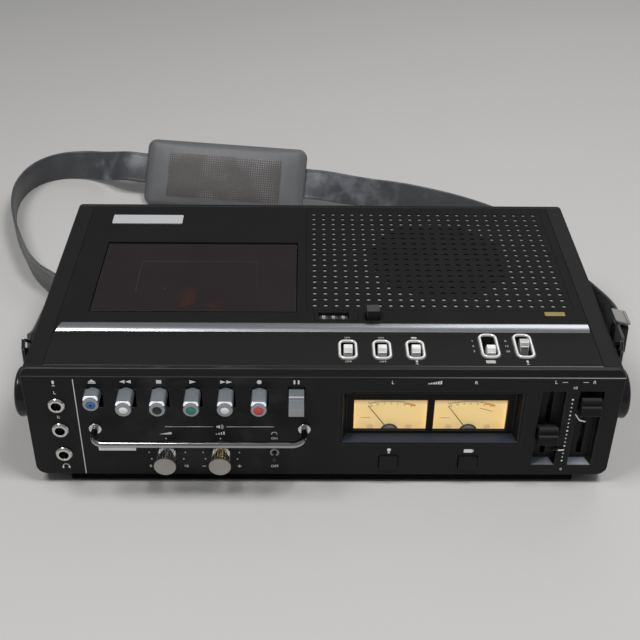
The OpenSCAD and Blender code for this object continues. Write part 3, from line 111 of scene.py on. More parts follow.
def placeOn(look):
    return look.node_tree.nodes["Texture Coordinate"].outputs["Object"]


def calc(look, operation, *terms):
    return addNode(look, "Math", dict(enumerate(terms)), operation=operation)["Value"]


def ramp(look, source, start, end, low=0.0, top=1.0):
    ends = {"From Min": start, "From Max": end, "To Min": low, "To Max": top}
    return addNode(look, "MapRange", {"Value": source, **ends})["Result"]


def blend(look, factor, first, second):
    return addNode(look, "Mix", {"Factor": factor, "A": first, "B": second}, data_type="RGBA")["Result"]


def layOver(look, factor, colour):  # a second colour over the base colour
    base = shaderOf(look)["Base Color"]
    both = blend(look, factor, base.links[0].from_socket, (*colour, 1))
    feed(look, base, both)
    return both


# Finishes: one shader each, with mottled colour, uneven gloss and a fine grain on Object coordinates
looks = {}
speck = {"scale": 1300.0, "detail": 2.0, "from": 0.7, "to": 0.8}
grainDepth, glossTimes, leastRough = 0.0001, 6, 0.02
patchShape = {"inner": 0.4, "scale": 45.0, "least": 0.52, "most": 0.75, "detail": 6.0}
socketNames = {"Spec": "Specular IOR Level", "Clear": "Transmission Weight"}


def finish(name, colour, rough, metal=0.0, mottle=0.12, patch=40.0, spread=0.06, grain=0.15, fine=1500.0,
           stretch=(1, 1, 1), dust=0.0, dustTint=(0.25, 0.25, 0.25), glow=None, **sockets):
    look = looks[name] = bpy.data.materials.new(name)
    look.use_nodes = True
    shader = shaderOf(look)
    place = addNode(look, "TexCoord", {})["Object"]
    lay = addNode(look, "Mapping", {"Vector": place, "Scale": stretch})["Vector"]

    def cloud(scale, detail=5.0):
        return addNode(look, "TexNoise", {"Vector": lay, "Scale": scale, "Detail": detail})["Fac"]

    dark, pale = ((*(min(1.0, c * (1 + way * mottle)) for c in colour), 1) for way in (-1, 1))
    feed(look, shader["Base Color"], blend(look, cloud(patch), dark, pale))
    if dust:  # pale specks where a fine noise peaks
        peaks = ramp(look, cloud(speck["scale"], speck["detail"]), speck["from"], speck["to"], top=dust)
        layOver(look, peaks, dustTint)
    uneven = cloud(patch * glossTimes)
    feed(look, shader["Roughness"], ramp(look, uneven, 0, 1, max(leastRough, rough - spread), rough + spread))
    relief = addNode(look, "Bump", {"Strength": grain, "Distance": grainDepth, "Height": cloud(fine)})
    feed(look, shader["Normal"], relief["Normal"])
    shader["Metallic"].default_value = metal
    if glow:
        shader["Emission Color"].default_value, shader["Emission Strength"].default_value = glow
    for socket, value in sockets.items():
        shader[socketNames.get(socket, socket)].default_value = value
    return look


finish("caseSatin", (0.0115, 0.0115, 0.0118), 0.46, grain=0.25, dust=0.12, Spec=0.04)
finish("frontSatin", (0.0108, 0.0108, 0.0112), 0.44, grain=0.25, dust=0.12, Spec=0.17)
finish("caseEdge", (0.023, 0.023, 0.024), 0.36, mottle=0.6, patch=220, Spec=0.35)
finish("deckSatin", (0.011, 0.011, 0.0111), 0.46, grain=0.25, dust=0.2, Spec=0.012)
finish("bezelBlack", (0.008, 0.008, 0.0085), 0.55, dust=0.1, Spec=0.15)
# painted shade: the base is made near black, as in the shadow under the case
finish("baseBlackPaintedShade", (0.0025, 0.0025, 0.0027), 0.7, dust=0.05, Spec=0.04)
finish("mouldedBlack", (0.01, 0.01, 0.011), 0.38, grain=0.2, Spec=0.35)
finish("lidSmoke", (0.0145, 0.0112, 0.0117), 0.34, grain=0.03, dust=0.15, Alpha=0.93, Spec=0.12)
finish("lidEdge", (0.02, 0.018, 0.018), 0.4, mottle=0.6, patch=220, Spec=0.2)
finish("ledgeSlate", (0.021, 0.027, 0.04), 0.4, dust=0.12, Spec=0.35)
finish("ledgePale", (0.2, 0.214, 0.245), 0.4, dust=0.15)
# painted highlight: a pale finish for the front edges, lighter still towards the right
finish("paintedEdgeHighlight", (0.05, 0.05, 0.053), 0.34, 0.3, mottle=0.3, patch=120)
finish("rimChrome", (0.72, 0.72, 0.7), 0.24, 0.4, mottle=0.06, patch=200)
finish("leverPale", (0.6, 0.6, 0.58), 0.28, 0.1, mottle=0.3, patch=300)
finish("leverSmoke", (0.3, 0.3, 0.3), 0.25, 0.2, mottle=0.2, patch=300)
finish("bandGrey", (0.06, 0.06, 0.063), 0.45, mottle=0.15, patch=300)
finish("buckleDull", (0.19, 0.187, 0.175), 0.45, 0.3, mottle=0.2, patch=300)
finish("resetGrey", (0.025, 0.025, 0.026), 0.45, mottle=0.15, patch=300)
finish("chromeBright", (0.72, 0.72, 0.72), 0.22, 1.0, mottle=0.2, patch=300, spread=0.1)
finish("trimBrushed", (0.54, 0.555, 0.58), 0.29, 1.0, stretch=(0.03, 1, 1), patch=700, grain=0.12, fine=2500)
finish("guardChrome", (0.42, 0.42, 0.425), 0.13, 1.0, spread=0.05, grain=0.04)
finish("plateBrushed", (0.78, 0.79, 0.8), 0.36, 0.7, stretch=(0.04, 1, 1), patch=500)
finish("keyGrey", (0.19, 0.21, 0.23), 0.36, 0.45, grain=0.1, mottle=0.25)
finish("keyBright", (0.82, 0.83, 0.85), 0.3, 0.4, grain=0.1)
finish("keyRing", (0.36, 0.37, 0.39), 0.36, 0.45, grain=0.1)
finish("lugMetal", (0.012, 0.012, 0.014), 0.14, mottle=0.25, patch=90, Spec=0.3)
finish("lugEdge", (0.22, 0.22, 0.23), 0.2, 1.0, mottle=0.2, patch=300, spread=0.1)
finish("knobAcrylic", (0.82, 0.83, 0.83), 0.06, mottle=0.02, grain=0.02, Clear=1.0, IOR=1.49)
finish("knobMetal", (0.41, 0.39, 0.365), 0.42, 0.6, mottle=0.1, patch=120)
finish("stemGrey", (0.3, 0.3, 0.29), 0.4, 0.5)
finish("bushingGrey", (0.3, 0.3, 0.3), 0.36, 0.6)
finish("stemGold", (0.75, 0.52, 0.08), 0.35, 0.3)
finish("jackNickel", (0.7, 0.69, 0.66), 0.18, 1.0, patch=200)
# painted glow: the dials glow without a lamp; their tops also get a painted shadow
finish("dialAmberPaintedLight", (0.88, 0.65, 0.27), 0.55, mottle=0.04, grain=0.05, glow=((1.0, 0.7, 0.27, 1), 0.64))
finish("dialInk", (0.05, 0.03, 0.015), 0.6)
# painted glow: the red zone of the scale glows without a lamp
finish("dialOrangePaintedGlow", (0.85, 0.42, 0.06), 0.6, glow=((0.9, 0.4, 0.04, 1), 0.3))
finish("lensClear", (0.9, 0.9, 0.9), 0.05, mottle=0.02, grain=0.01, Alpha=0.08)
finish("hubBlack", (0.02, 0.018, 0.016), 0.3)
finish("screwSteel", (0.55, 0.5, 0.42), 0.35, 0.3)
# painted glow: the dial screws glow without a lamp
finish("screwAmberPaintedGlow", (0.86, 0.7, 0.36), 0.35, glow=((0.95, 0.72, 0.34, 1), 0.4))
finish("printWhite", (0.95, 0.95, 0.93), 0.6, mottle=0.15, patch=900)
finish("printGrey", (0.32, 0.32, 0.31), 0.6, mottle=0.2, patch=900)
finish("digitGrey", (0.38, 0.38, 0.39), 0.6, mottle=0.15, patch=900)
finish("plateYellow", (0.18, 0.127, 0.02), 0.45, mottle=0.4, patch=700)
finish("conePaper", (0.0105, 0.0105, 0.0105), 0.85, grain=0.6, fine=900)
finish("baffleZinc", (0.33, 0.33, 0.325), 0.5, 0.4, patch=120)
finish("sheetSteel", (0.5, 0.5, 0.5), 0.36, 0.9, patch=90)
finish("turnedBrass", (0.72, 0.55, 0.25), 0.28, 1.0, patch=150)
finish("boardGreen", (0.03, 0.12, 0.06), 0.45)
finish("reelWhite", (0.62, 0.61, 0.58), 0.45)
finish("wheelBlack", (0.02, 0.02, 0.02), 0.5)
finish("cellShell", (0.28, 0.29, 0.3), 0.3, 0.9)
finish("footRubber", (0.012, 0.012, 0.012), 0.8, grain=0.5)
finish("dotBlue", (0.02, 0.17, 0.45), 0.35)
finish("dotWhite", (0.95, 0.95, 0.94), 0.4)
finish("dotBlack", (0.012, 0.012, 0.012), 0.35)
finish("dotGreen", (0.01, 0.24, 0.16), 0.35)
finish("dotRed", (0.72, 0.05, 0.05), 0.35)
finish("padRim", (0.088, 0.089, 0.093), 0.48, grain=0.4, fine=900, dust=0.3, dustTint=(0.2, 0.2, 0.2))


def brighten(look, axis, start, end, colour, glows=False):  # painted highlight and shade: blends towards a second colour along one axis
    along = addNode(look, "SeparateXYZ", {"Vector": placeOn(look)})[axis]
    both = layOver(look, ramp(look, along, start * mm, end * mm), colour)
    if glows:
        feed(look, shaderOf(look)["Emission Color"], both)


def wear(look, where, scale, least, most, colour):  # paler where a mask and a broad noise agree
    broad = addNode(look, "TexNoise", {"Vector": placeOn(look), "Scale": scale, "Detail": patchShape["detail"]})["Fac"]
    layOver(look, calc(look, "MULTIPLY", where, ramp(look, broad, least, most)), colour)


def smear(look, centre, reach, colour):  # a paler colour round a spot, fading out; it lays painted glow and painted sheen as well as a plain paler patch
    away = addNode(look, "VectorMath", {0: placeOn(look), 1: spot(*centre)}, operation="DISTANCE")["Value"]
    near = ramp(look, away, reach * mm, reach * patchShape["inner"] * mm)
    wear(look, near, patchShape["scale"], patchShape["least"], patchShape["most"], colour)


# painted highlight: the front edges grow lighter towards the right
brighten(looks["paintedEdgeHighlight"], "X", 30, 190, (0.36, 0.36, 0.38))
# painted sheen: the deck grows lighter towards the front, in front of the trim bar
brighten(looks["deckSatin"], "Y", -45, -72, (0.0138, 0.0138, 0.0138))
# painted shadow: the top of each dial is darker, as under the bezel's top edge, in colour and in glow
brighten(looks["dialAmberPaintedLight"], "Z", 57.5, 62.0, (0.34, 0.21, 0.06), glows=True)
# a paler patch on the left half of the front, round the keys
smear(looks["frontSatin"], (-75, 0, 66), 85, (0.036, 0.036, 0.037))
for back in (69.5, 81.5):  # painted glow: a dim reddish glow behind the lid, laid into the lid's colour
    smear(looks["lidSmoke"], (-84, back, deckZ), 17, (0.045, 0.014, 0.01))


# Building blocks
inkThick, inkLift = 0.03, 0.02
capShare = 0.72  # height of a capital in the font's unit


def bodyOf(node):
    if node in ("cassette_lid", "cassette_holder"):
        return "lid"
    return node if node in frame["bodies"] else "case"


def asPiece(name, bm, lookNames, body="case", stands=(), flats=True, smooth=38):
    mesh = bpy.data.meshes.new(name)
    bm.to_mesh(mesh)
    bm.free()
    for lookName in lookNames:
        mesh.materials.append(looks[lookName])
    mesh.shade_smooth()
    mesh.set_sharp_from_angle(angle=radians(smooth))
    piece = addObject(name, mesh)
    if flats:
        even = piece.modifiers.new("evenFlats", "WEIGHTED_NORMAL")
        even.keep_sharp = True
    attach(piece, body)
    if stands:
        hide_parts(*stands)
    return piece


def pieceName(node):
    first, *rest = node.split("_")
    return first + "".join(w.capitalize() for w in rest) + "Body"


def meltFlats(bm):  # merges the triangles of each flat face
    bmesh.ops.remove_doubles(bm, verts=bm.verts, dist=2e-6)
    bmesh.ops.dissolve_limit(bm, angle_limit=radians(1.0), verts=bm.verts, edges=bm.edges)
    for f in bm.faces:
        f.material_index = 0


def copyNode(node):
    bm = bmesh.new()
    bm.from_mesh(frame["nodes"][node].data)
    meltFlats(bm)
    return bm


def middle(f):
    x, y, z = f.calc_center_median() * 1000
    return x, y - frontY, z


def paint(faces, mark, here):  # gives a slot to the faces whose normal and place pass a test
    for f in faces:
        if here(f.normal, *middle(f)):
            f.material_index = mark


def faceOut(bm):
    bmesh.ops.recalc_face_normals(bm, faces=bm.faces)


def cut(bm, at, way, geom=None, **more):
    bmesh.ops.bisect_plane(bm, geom=geom or bm.verts[:] + bm.edges[:] + bm.faces[:], dist=1e-6, plane_co=spot(*at),
                           plane_no=way, **more)


def vertsIn(geom):
    return [v for v in geom if isinstance(v, bmesh.types.BMVert)]


def thicken(bm, faces, way):
    grown = bmesh.ops.extrude_face_region(bm, geom=faces, use_keep_orig=True)["geom"]
    bmesh.ops.translate(bm, verts=vertsIn(grown), vec=way)
    faceOut(bm)


def bevel(bm, edges, width, segments):
    return bmesh.ops.bevel(bm, geom=edges, offset=width * mm, offset_type="OFFSET", segments=segments, profile=0.5,
                           affect="EDGES", material=-1, clamp_overlap=False)["faces"]


def easeEdges(bm, width, over=32, mark=None, leave=None):
    sharp = [e for e in bm.edges if len(e.link_faces) == 2 and e.calc_face_angle(0) > radians(over)]
    if leave is not None:  # a box of x0, y0, x1, y1 whose edges stay sharp
        low, high = spot(*leave[:2], 0), spot(*leave[2:], 0)
        sharp = [e for e in sharp if not all(low.x < v.co.x < high.x and low.y < v.co.y < high.y for v in e.verts)]
    made = bevel(bm, sharp, width, 2)
    if mark is not None:
        for f in made:
            f.material_index = mark
    return made


def turned(bm, profile, centre, steps=48):  # spins (radius, height) pairs about an axis to the front through centre
    axis = Vector((0, -1, 0))
    side = axis.orthogonal().normalized()
    verts = [bm.verts.new(centre + side * r * mm + axis * h * mm) for r, h in profile]
    edges = [bm.edges.new(pair) for pair in zip(verts, verts[1:])]
    bmesh.ops.spin(bm, geom=verts + edges, cent=centre, axis=axis, angle=2 * pi, steps=steps, use_merge=True)
    bmesh.ops.remove_doubles(bm, verts=bm.verts, dist=1e-6)
    faceOut(bm)


def slab(bm, outline, place, thick=inkThick, mark=0):  # a flat outline of (u, v) pairs, made solid off its surface
    face = bm.faces.new([bm.verts.new(place(u, v, 0.0)) for u, v in outline])
    lift = place(0, 0, thick) - place(0, 0, 0.0)
    grown = vertsIn(bmesh.ops.extrude_face_region(bm, geom=[face])["geom"])
    bmesh.ops.translate(bm, verts=grown, vec=lift)
    around = [f for f in {f for v in grown for f in v.link_faces} | {face} if f.is_valid]
    bmesh.ops.recalc_face_normals(bm, faces=around)
    for f in around:
        f.material_index = mark


def bridge(bm, a, b):  # faces between two rings with as many points
    for k in range(len(a)):
        n = (k + 1) % len(a)
        bm.faces.new((a[k], b[k], b[n], a[n]))


def onFront(x, z, out):
    return spot(x, -inkLift - out, z)


def onDeck(x, y, out):
    return spot(x, y, deckZ + inkLift + out)


def disc(x, y, r, n=10):
    return [(x + r * cos(2 * pi * i / n), y + r * sin(2 * pi * i / n)) for i in range(n)]


def block(x0, y0, x1, y1):
    return [(x0, y0), (x1, y0), (x1, y1), (x0, y1)]


def rounded(x0, y0, x1, y1, r, n=5):
    out = []
    for cx, cy, a in ((x1 - r, y1 - r, 0), (x0 + r, y1 - r, 90), (x0 + r, y0 + r, 180), (x1 - r, y0 + r, 270)):
        out += [(cx + r * cos(radians(a + 90 * i / n)), cy + r * sin(radians(a + 90 * i / n))) for i in range(n + 1)]
    return out


def words(bm, text, u, v, high, place, mark=0):  # centred lettering of a given height
    curve = bpy.data.curves.new("lettering", "FONT")
    curve.body, curve.size = text, 1.0
    curve.align_x, curve.align_y = "CENTER", "CENTER"
    curve.extrude = 0.5
    curve.resolution_u = 3
    holder = addObject("lettering", curve)
    flat = bpy.data.meshes.new_from_object(holder.evaluated_get(bpy.context.evaluated_depsgraph_get()))
    bpy.data.objects.remove(holder)
    part = bmesh.new()
    part.from_mesh(flat)
    scale = high / capShare
    for p in part.verts:
        p.co = place(u + p.co.x * scale, v + p.co.y * scale, (p.co.z + curve.extrude) * inkThick)
    for f in part.faces:
        f.material_index = mark
    part.to_mesh(flat)
    part.free()
    bm.from_mesh(flat)
    bpy.data.meshes.remove(flat)


# Strap and pad
strap = {"width": 28.0, "thick": 2.2, "perSpan": 7, "stitchIn": 2.6, "groove": 0.9, "sunk": 0.78, "lip": (0.5, 0.75),
         "off": 0.3}
crease = {"high": 0.35, "wave": 0.55, "at": 120, "reach": 90}  # wrinkles beside the left of the case
pad = {"long": 152.0, "high": 62.0, "rim": 5.0, "crown": 9.0, "x": -87.4, "y": 388.1, "lift": 0.4, "turn": -8.5,
       "lean": 36.0, "border": 12.0, "panel": 11.5, "corner": 8.0, "groove": (0.25, 2.4), "fall": (2.6, 4.0),
       "cells": (76, 30), "ends": 0.545, "top": 1.09, "foot": 1.8}
pad["z"] = pad["high"] / 2 * cos(radians(pad["lean"])) + pad["lift"]
low = strap["width"] / 2 + strap["off"]
# Pattern of the vinyl, with its lengths in metres
vinyl = {"cell": 0.0021, "seam": 0.0005, "dash": 0.0034, "dashEnd": (0.0004, 0.0009), "thread": (0.0007, 0.0003),
         "sewn": (0.272, 0.25), "rib": 0.0016, "crest": (0.001, 0.0015), "ribRise": 500.0, "depth": 0.0004}


def onPad(s, k):  # a point of the strap's middle on the back of the pad
    lean, turn = radians(pad["lean"]), radians(pad["turn"])
    d = strap["thick"] / 2 + strap["off"]
    b = k * sin(lean) + d * cos(lean)
    return (pad["x"] + s * cos(turn) - b * sin(turn), pad["y"] + s * sin(turn) + b * cos(turn),
            pad["z"] + k * cos(lean) - d * sin(lean), pad["lean"])


route = [  # right, back, up, and how far the upper edge leans outwards
    (-193.7, 46, 71.5, 0), (-193.7, 56, 66.8, 0), (-194.2, 68, 63, 0), (-197, 115, 51, 0), (-198, 140, 43, 0),
    (-200, 164, 32.5, 0), (-203, 185, 23.5, 0), (-208, 203, 17.5, 0), (-217, 217, low + 0.4, 5), (-229, 230, low, 8),
    (-241, 247, low, 7), (-253, 272, low, 6), (-266, 303, low, 3), (-275.5, 333, low, 0), (-281, 363, low, -4),
    (-280.5, 388, low, -8), (-275, 408.5, low, -9), (-265, 423, low, -7), (-250, 432, low, 0),
    (-229, 433, low + 1, 9), (-207, 424, 18.5, 20), onPad(-96, 4.2), onPad(-80, 3.6), onPad(0, 1.8), onPad(80, 0),
    onPad(94, -0.4), (28, 375.5, 20, 18), (50, 376, 16.6, 8), (75, 374.5, low + 0.6, 0), (102, 365, low, 0),
    (130, 350, low, 0), (156, 331, low, 0), (179, 307, low, 0), (196, 279, low, 0), (206, 247, low, 0),
    (208, 214, 19, 0), (205, 186, 30, 0), (198.5, 134, 57, 0), (199, 88, 73, 0), (197.5, 68, 78.5, 0),
    (193.7, 51, 80.5, 0), (193.7, 38, 79.5, 0),
]


def smoothRoute(points, per):  # centripetal spline through the points
    pts = [Vector(p[:3]) for p in points]
    leans = [p[3] for p in points]
    pts = [2 * pts[0] - pts[1]] + pts + [2 * pts[-1] - pts[-2]]
    out = []
    for a, b, c, d, l0, l1 in zip(pts, pts[1:], pts[2:], pts[3:], leans, leans[1:]):
        t0, t1 = 0.0, (b - a).length ** 0.5
        t2 = t1 + (c - b).length ** 0.5
        t3 = t2 + (d - c).length ** 0.5
        for k in range(per):
            t = t1 + (t2 - t1) * k / per
            ab = a.lerp(b, (t - t0) / (t1 - t0))
            bc = b.lerp(c, (t - t1) / (t2 - t1))
            cd = c.lerp(d, (t - t2) / (t3 - t2))
            near, far = ab.lerp(bc, (t - t0) / (t2 - t0)), bc.lerp(cd, (t - t1) / (t3 - t1))
            out.append((near.lerp(far, (t - t1) / (t2 - t1)), l0 + (l1 - l0) * k / per))
    return out + [(pts[-2], leans[-1])]


def vinylLook(name, colour, rough, panel):
    look = finish(name, colour, rough, mottle=0.3, patch=70, spread=0.08, grain=0.5, fine=1100, dust=0.5,
                  dustTint=(0.12, 0.12, 0.12))
    chart = addNode(look, "UVMap", {}, uv_map="along")["UV"]
    if panel:  # fine pressed grid inside the pad's rim
        cells = {"Vector": chart, "Scale": 1.0, "Brick Width": vinyl["cell"], "Row Height": vinyl["cell"],
                 "Mortar Size": vinyl["seam"], "Color1": (1, 1, 1, 1), "Color2": (0.8, 0.8, 0.8, 1),
                 "Mortar": (0, 0, 0, 1)}
        height = addNode(look, "TexBrick", cells, offset=0.0)["Color"]
        wear(look, height, 28.0, 0.47, 0.66, (0.22, 0.22, 0.23))
        wear(look, calc(look, "SUBTRACT", 1.0, height), 28.0, -1.0, 0.0, (0.055, 0.05, 0.048))
    else:  # stitches along both edges and ribs across, only on the stretch beside the case
        apart = addNode(look, "SeparateXYZ", {"Vector": chart})
        sewn = ramp(look, apart["X"], *vinyl["sewn"])
        dash = ramp(look, calc(look, "PINGPONG", apart["X"], vinyl["dash"]), *vinyl["dashEnd"])
        seam = (strap["width"] / 2 - strap["stitchIn"]) * mm
        off = calc(look, "ABSOLUTE", calc(look, "SUBTRACT", calc(look, "ABSOLUTE", apart["Y"]), seam))
        stitch = calc(look, "MULTIPLY", dash, ramp(look, off, *vinyl["thread"]))
        thread = calc(look, "MULTIPLY", stitch, sewn)
        wear(look, thread, 20.0, 0.1, 0.3, (0.26, 0.27, 0.27))
        rib = calc(look, "PINGPONG", apart["X"], vinyl["rib"])
        crest = calc(look, "MULTIPLY", ramp(look, rib, *vinyl["crest"]), sewn)
        wear(look, crest, 60.0, 0.1, 0.4, (0.27, 0.265, 0.25))
        height = calc(look, "MULTIPLY_ADD", calc(look, "MULTIPLY", rib, sewn), vinyl["ribRise"], thread)
    normal = shaderOf(look)["Normal"]
    relief = addNode(look, "Bump", {"Strength": 0.7 if panel else 0.5, "Distance": vinyl["depth"], "Height": height,
                                    "Normal": normal.links[0].from_socket})
    feed(look, normal, relief["Normal"])


vinylLook("strapVinyl", (0.05, 0.052, 0.056), 0.44, False)
# painted sheen: paler bluish patches on the strap near the pad
for sheenSpot in ((-190, 408, 22), (12, 377, 22), (70, 374, 16)):
    smear(looks["strapVinyl"], sheenSpot, 60, (0.14, 0.148, 0.165))
vinylLook("padVinyl", (0.078, 0.075, 0.072), 0.5, True)
print("finishes made:", len(looks))


def upright(ahead):
    return (Vector((0, 0, 1)) - ahead.z * ahead).normalized()


def makeStrap():
    spline = smoothRoute(route, strap["perSpan"])
    path = [p for p, lean in spline]
    w, t = strap["width"] / 2, strap["thick"] / 2
    s, g, sunk = w - strap["stitchIn"], strap["groove"], t * strap["sunk"]
    lipIn, lipHigh = strap["lip"][0], t * strap["lip"][1]
    section = [(-w + lipIn, lipHigh), (-s - g, t), (-s, sunk), (-s + g, t), (s - g, t), (s, sunk), (s + g, t),
               (w - lipIn, lipHigh), (w, 0)]  # half of the ring, with a sewn groove near each edge
    ring = section + [(-a, -b) for a, b in section]
    bm = bmesh.new()
    chart = bm.loops.layers.uv.new("along")
    rows, run = [], 0.0
    for i, p in enumerate(path):
        ahead = (path[min(i + 1, len(path) - 1)] - path[max(i - 1, 0)]).normalized()
        up, lean = upright(ahead), radians(spline[i][1])
        up = cos(lean) * up - sin(lean) * ahead.cross(up)
        out = ahead.cross(up)
        run += (p - path[i - 1]).length if i else 0.0
        fold = crease["high"] * sin(run * crease["wave"]) * max(0.0, 1 - abs(run - crease["at"]) / crease["reach"])
        rows.append((run, [bm.verts.new(spot(*(p + up * a + out * (b + fold)))) for a, b in ring]))
    for (ra, va), (rb, vb) in zip(rows, rows[1:]):
        for k in range(len(ring)):
            n = (k + 1) % len(ring)
            face = bm.faces.new((va[k], va[n], vb[n], vb[k]))
            here, there = ring[k][0], ring[n][0]
            for loop, (u, v) in zip(face.loops, ((ra, here), (ra, there), (rb, there), (rb, here))):
                loop[chart].uv = (u * mm, v * mm)
    for row in (rows[0], rows[-1]):
        bm.faces.new(row[1])
    faceOut(bm)
    strap["length"] = run * mm
    piece = asPiece("shoulderStrap", bm, ["strapVinyl"], stands=["shoulder_strap"], flats=False, smooth=50)
    return piece, [spot(*p) for p in path]


def makePad():
    bm = bmesh.new()
    across, up = pad["cells"]
    bmesh.ops.create_grid(bm, x_segments=across, y_segments=up, size=1.0)
    long, high = pad["long"] / 2, pad["high"] / 2
    (groove, grooveHalf), (fall, fallIn) = pad["groove"], pad["fall"]
    chart = bm.loops.layers.uv.new("along")
    where = {}
    for p in bm.verts:  # rounded corners, a crowned middle and a pressed line round the panel
        u, v = p.co.x, p.co.y
        x, z = u * long, v * high
        a, b = ((abs(c) - side) / pad["corner"] + 1 for c, side in ((x, long), (z, high)))
        if a > 0 and b > 0:
            x += copysign(pad["corner"] * a * ((1 - b * b / 2) ** 0.5 - 1), -u)
            z += copysign(pad["corner"] * b * ((1 - a * a / 2) ** 0.5 - 1), -v)
        rise = pad["rim"] + (pad["crown"] - pad["rim"]) * (1 - u ** 4) * (1 - v ** 4)
        edge = min(long * (1 - abs(u)) * pad["ends"], high * (1 - abs(v)) * pad["top" if v > 0 else "foot"])
        rise -= groove * max(0.0, 1 - abs(edge - pad["border"]) / grooveHalf)
        rise -= fall * max(0.0, 1 - edge / fallIn) ** 2
        where[p] = (x, z, edge)
        p.co = Vector((x, -rise, z))
    for f in bm.faces:
        f.material_index = 1 if min(where[p][2] for p in f.verts) < pad["panel"] else 0
        for loop in f.loops:
            loop[chart].uv = (where[loop.vert][0] * mm, where[loop.vert][1] * mm)
    back = bmesh.ops.extrude_face_region(bm, geom=list(bm.faces), use_keep_orig=True)["geom"]
    for p in vertsIn(back):
        p.co.y = 0.0
    for f in back:
        if isinstance(f, bmesh.types.BMFace):
            f.material_index = 1
    faceOut(bm)
    pose = Matrix.Rotation(radians(pad["turn"]), 4, "Z") @ Matrix.Rotation(-radians(pad["lean"]), 4, "X")
    bmesh.ops.transform(bm, verts=bm.verts, matrix=pose)
    for p in bm.verts:
        p.co = spot(p.co.x + pad["x"], p.co.y + pad["y"], p.co.z + pad["z"])
    piece = asPiece("shoulderPad", bm, ["padVinyl", "padRim"], stands=["strap_pad"], flats=False, smooth=55)
    return piece


buckle = {"at": (196.4, 57.2, 95.2), "long": 15.0, "wide": 10.5, "thick": 1.4, "tilt": 14.0, "round": 1.4,
          "fold": (1.0, 2.4, 1.4), "foldRound": 0.4, "foldHigh": 0.5}
slider = {"at": (197.4, 57.5, 79.8), "towards": (197.7, 68.0, 78.5), "size": (12.0, 21.0, 9.0), "round": 2.5,
          "slot": (1.1, 2.0, 0.8), "slotDeep": 0.6}


def makeBuckle():  # folded metal tongue lying out from the strap's upper edge
    bm = bmesh.new()
    slope = radians(buckle["tilt"])

    def seat(u, v, h):
        x, y, z = buckle["at"]
        return spot(x + v * cos(slope), y + u, z - v * sin(slope) + h)

    l, w = buckle["long"] / 2, buckle["wide"] / 2
    slab(bm, rounded(-l, -w, l, w, buckle["round"]), seat, buckle["thick"])
    easeEdges(bm, 0.3)
    end, near, far = buckle["fold"]
    slab(bm, rounded(end - l, w - near, l - end, w - far, buckle["foldRound"]),
         lambda u, v, h: seat(u, v, h + buckle["thick"]), buckle["foldHigh"])
    return asPiece("strapBuckle", bm, ["buckleDull"])


def makeSlider():
    origin = Vector(slider["at"])
    ahead = (Vector(slider["towards"]) - origin).normalized()
    up = upright(ahead)
    out = ahead.cross(up)
    long, wide, thick = slider["size"]
    bm = bmesh.new()

    def seat(u, v, h):
        return spot(*(origin + ahead * u + up * v + out * (h - thick / 2)))

    slab(bm, rounded(-long / 2, -wide / 2, long / 2, wide / 2, slider["round"]), seat, thick)
    easeEdges(bm, 0.8)
    half, end, turn = slider["slot"]
    for u in (-long / 4, long / 4):
        slab(bm, rounded(u - half, end - wide / 2, u + half, wide / 2 - end, turn),
             lambda u, v, h: seat(u, v, h - slider["slotDeep"]), slider["slotDeep"])
    return asPiece("strapSlider", bm, ["mouldedBlack"])


strapPiece, strapPath = makeStrap()
padPiece = makePad()
buckles = [makeBuckle(), makeSlider()]
print("strap and pad made, strap length", round(strap["length"], 3))


# Case: nodes that keep their own shape, with eased edges
dressed = {  # node: finish, width of the eased edge, and the edge's own finish if it has one
    "front_panel": ("frontSatin", 0.35, "caseEdge"), "side_panels": ("caseSatin", 0.35, "caseEdge"),
    "rear_panel": ("caseSatin", 0.3, "caseEdge"), "bottom_cover": ("baseBlackPaintedShade", 0.25),
    "deck_panel": ("deckSatin", 0.2), "battery_door": ("mouldedBlack", 0.2, "caseEdge"),
    "rubber_feet": ("footRubber", 0.2), "battery_cells": ("cellShell", 0.3),
    "cassette_well": ("mouldedBlack", 0.2, "caseEdge"), "mechanism_chassis": ("sheetSteel", 0.15),
    "drive_motor": ("sheetSteel", 0.4), "drive_belt": ("footRubber", 0.1), "key_guard": ("guardChrome", 0.3),
    "phone_jacks": ("jackNickel", 0.2), "potentiometers": ("sheetSteel", 0.15), "counter_frame": ("deckSatin", 0.15),
    "circuit_board": ("boardGreen", 0.1), "rear_sockets": ("mouldedBlack", 0.2, "chromeBright"),
    "strap_lugs": ("lugMetal", 0.5, "lugEdge"), "cassette_lid": ("lidSmoke", 0.2, "lidEdge"),
    "cassette_holder": ("sheetSteel", 0.15), "supply_spindle": ("reelWhite", 0.15),
    "takeup_spindle": ("reelWhite", 0.15), "flywheel": ("turnedBrass", 0.3), "motor_pulley": ("turnedBrass", 0.15),
    "head_base": ("sheetSteel", 0.15), "pinch_roller": ("footRubber", 0.3), "monitor_toggle": ("hubBlack", 0.1),
    "light_button": ("frontSatin", 0.25, "bezelBlack"), "battery_check_button": ("frontSatin", 0.25, "bezelBlack"),
    "needle_left": ("dialInk", 0.03), "needle_right": ("dialInk", 0.03),
    "counter_reset": ("mouldedBlack", 0.3, "caseEdge"), "noise_switch": ("leverPale", 0.4),
    "limiter_switch": ("leverPale", 0.4), "input_switch": ("leverPale", 0.4), "tape_switch": ("leverPale", 0.4),
    "microphone_switch": ("leverSmoke", 0.4, "leverPale"),
}
extras = ["ledgePale", "paintedEdgeHighlight", "hubBlack", "resetGrey", "bushingGrey", "chromeBright", "bezelBlack"]
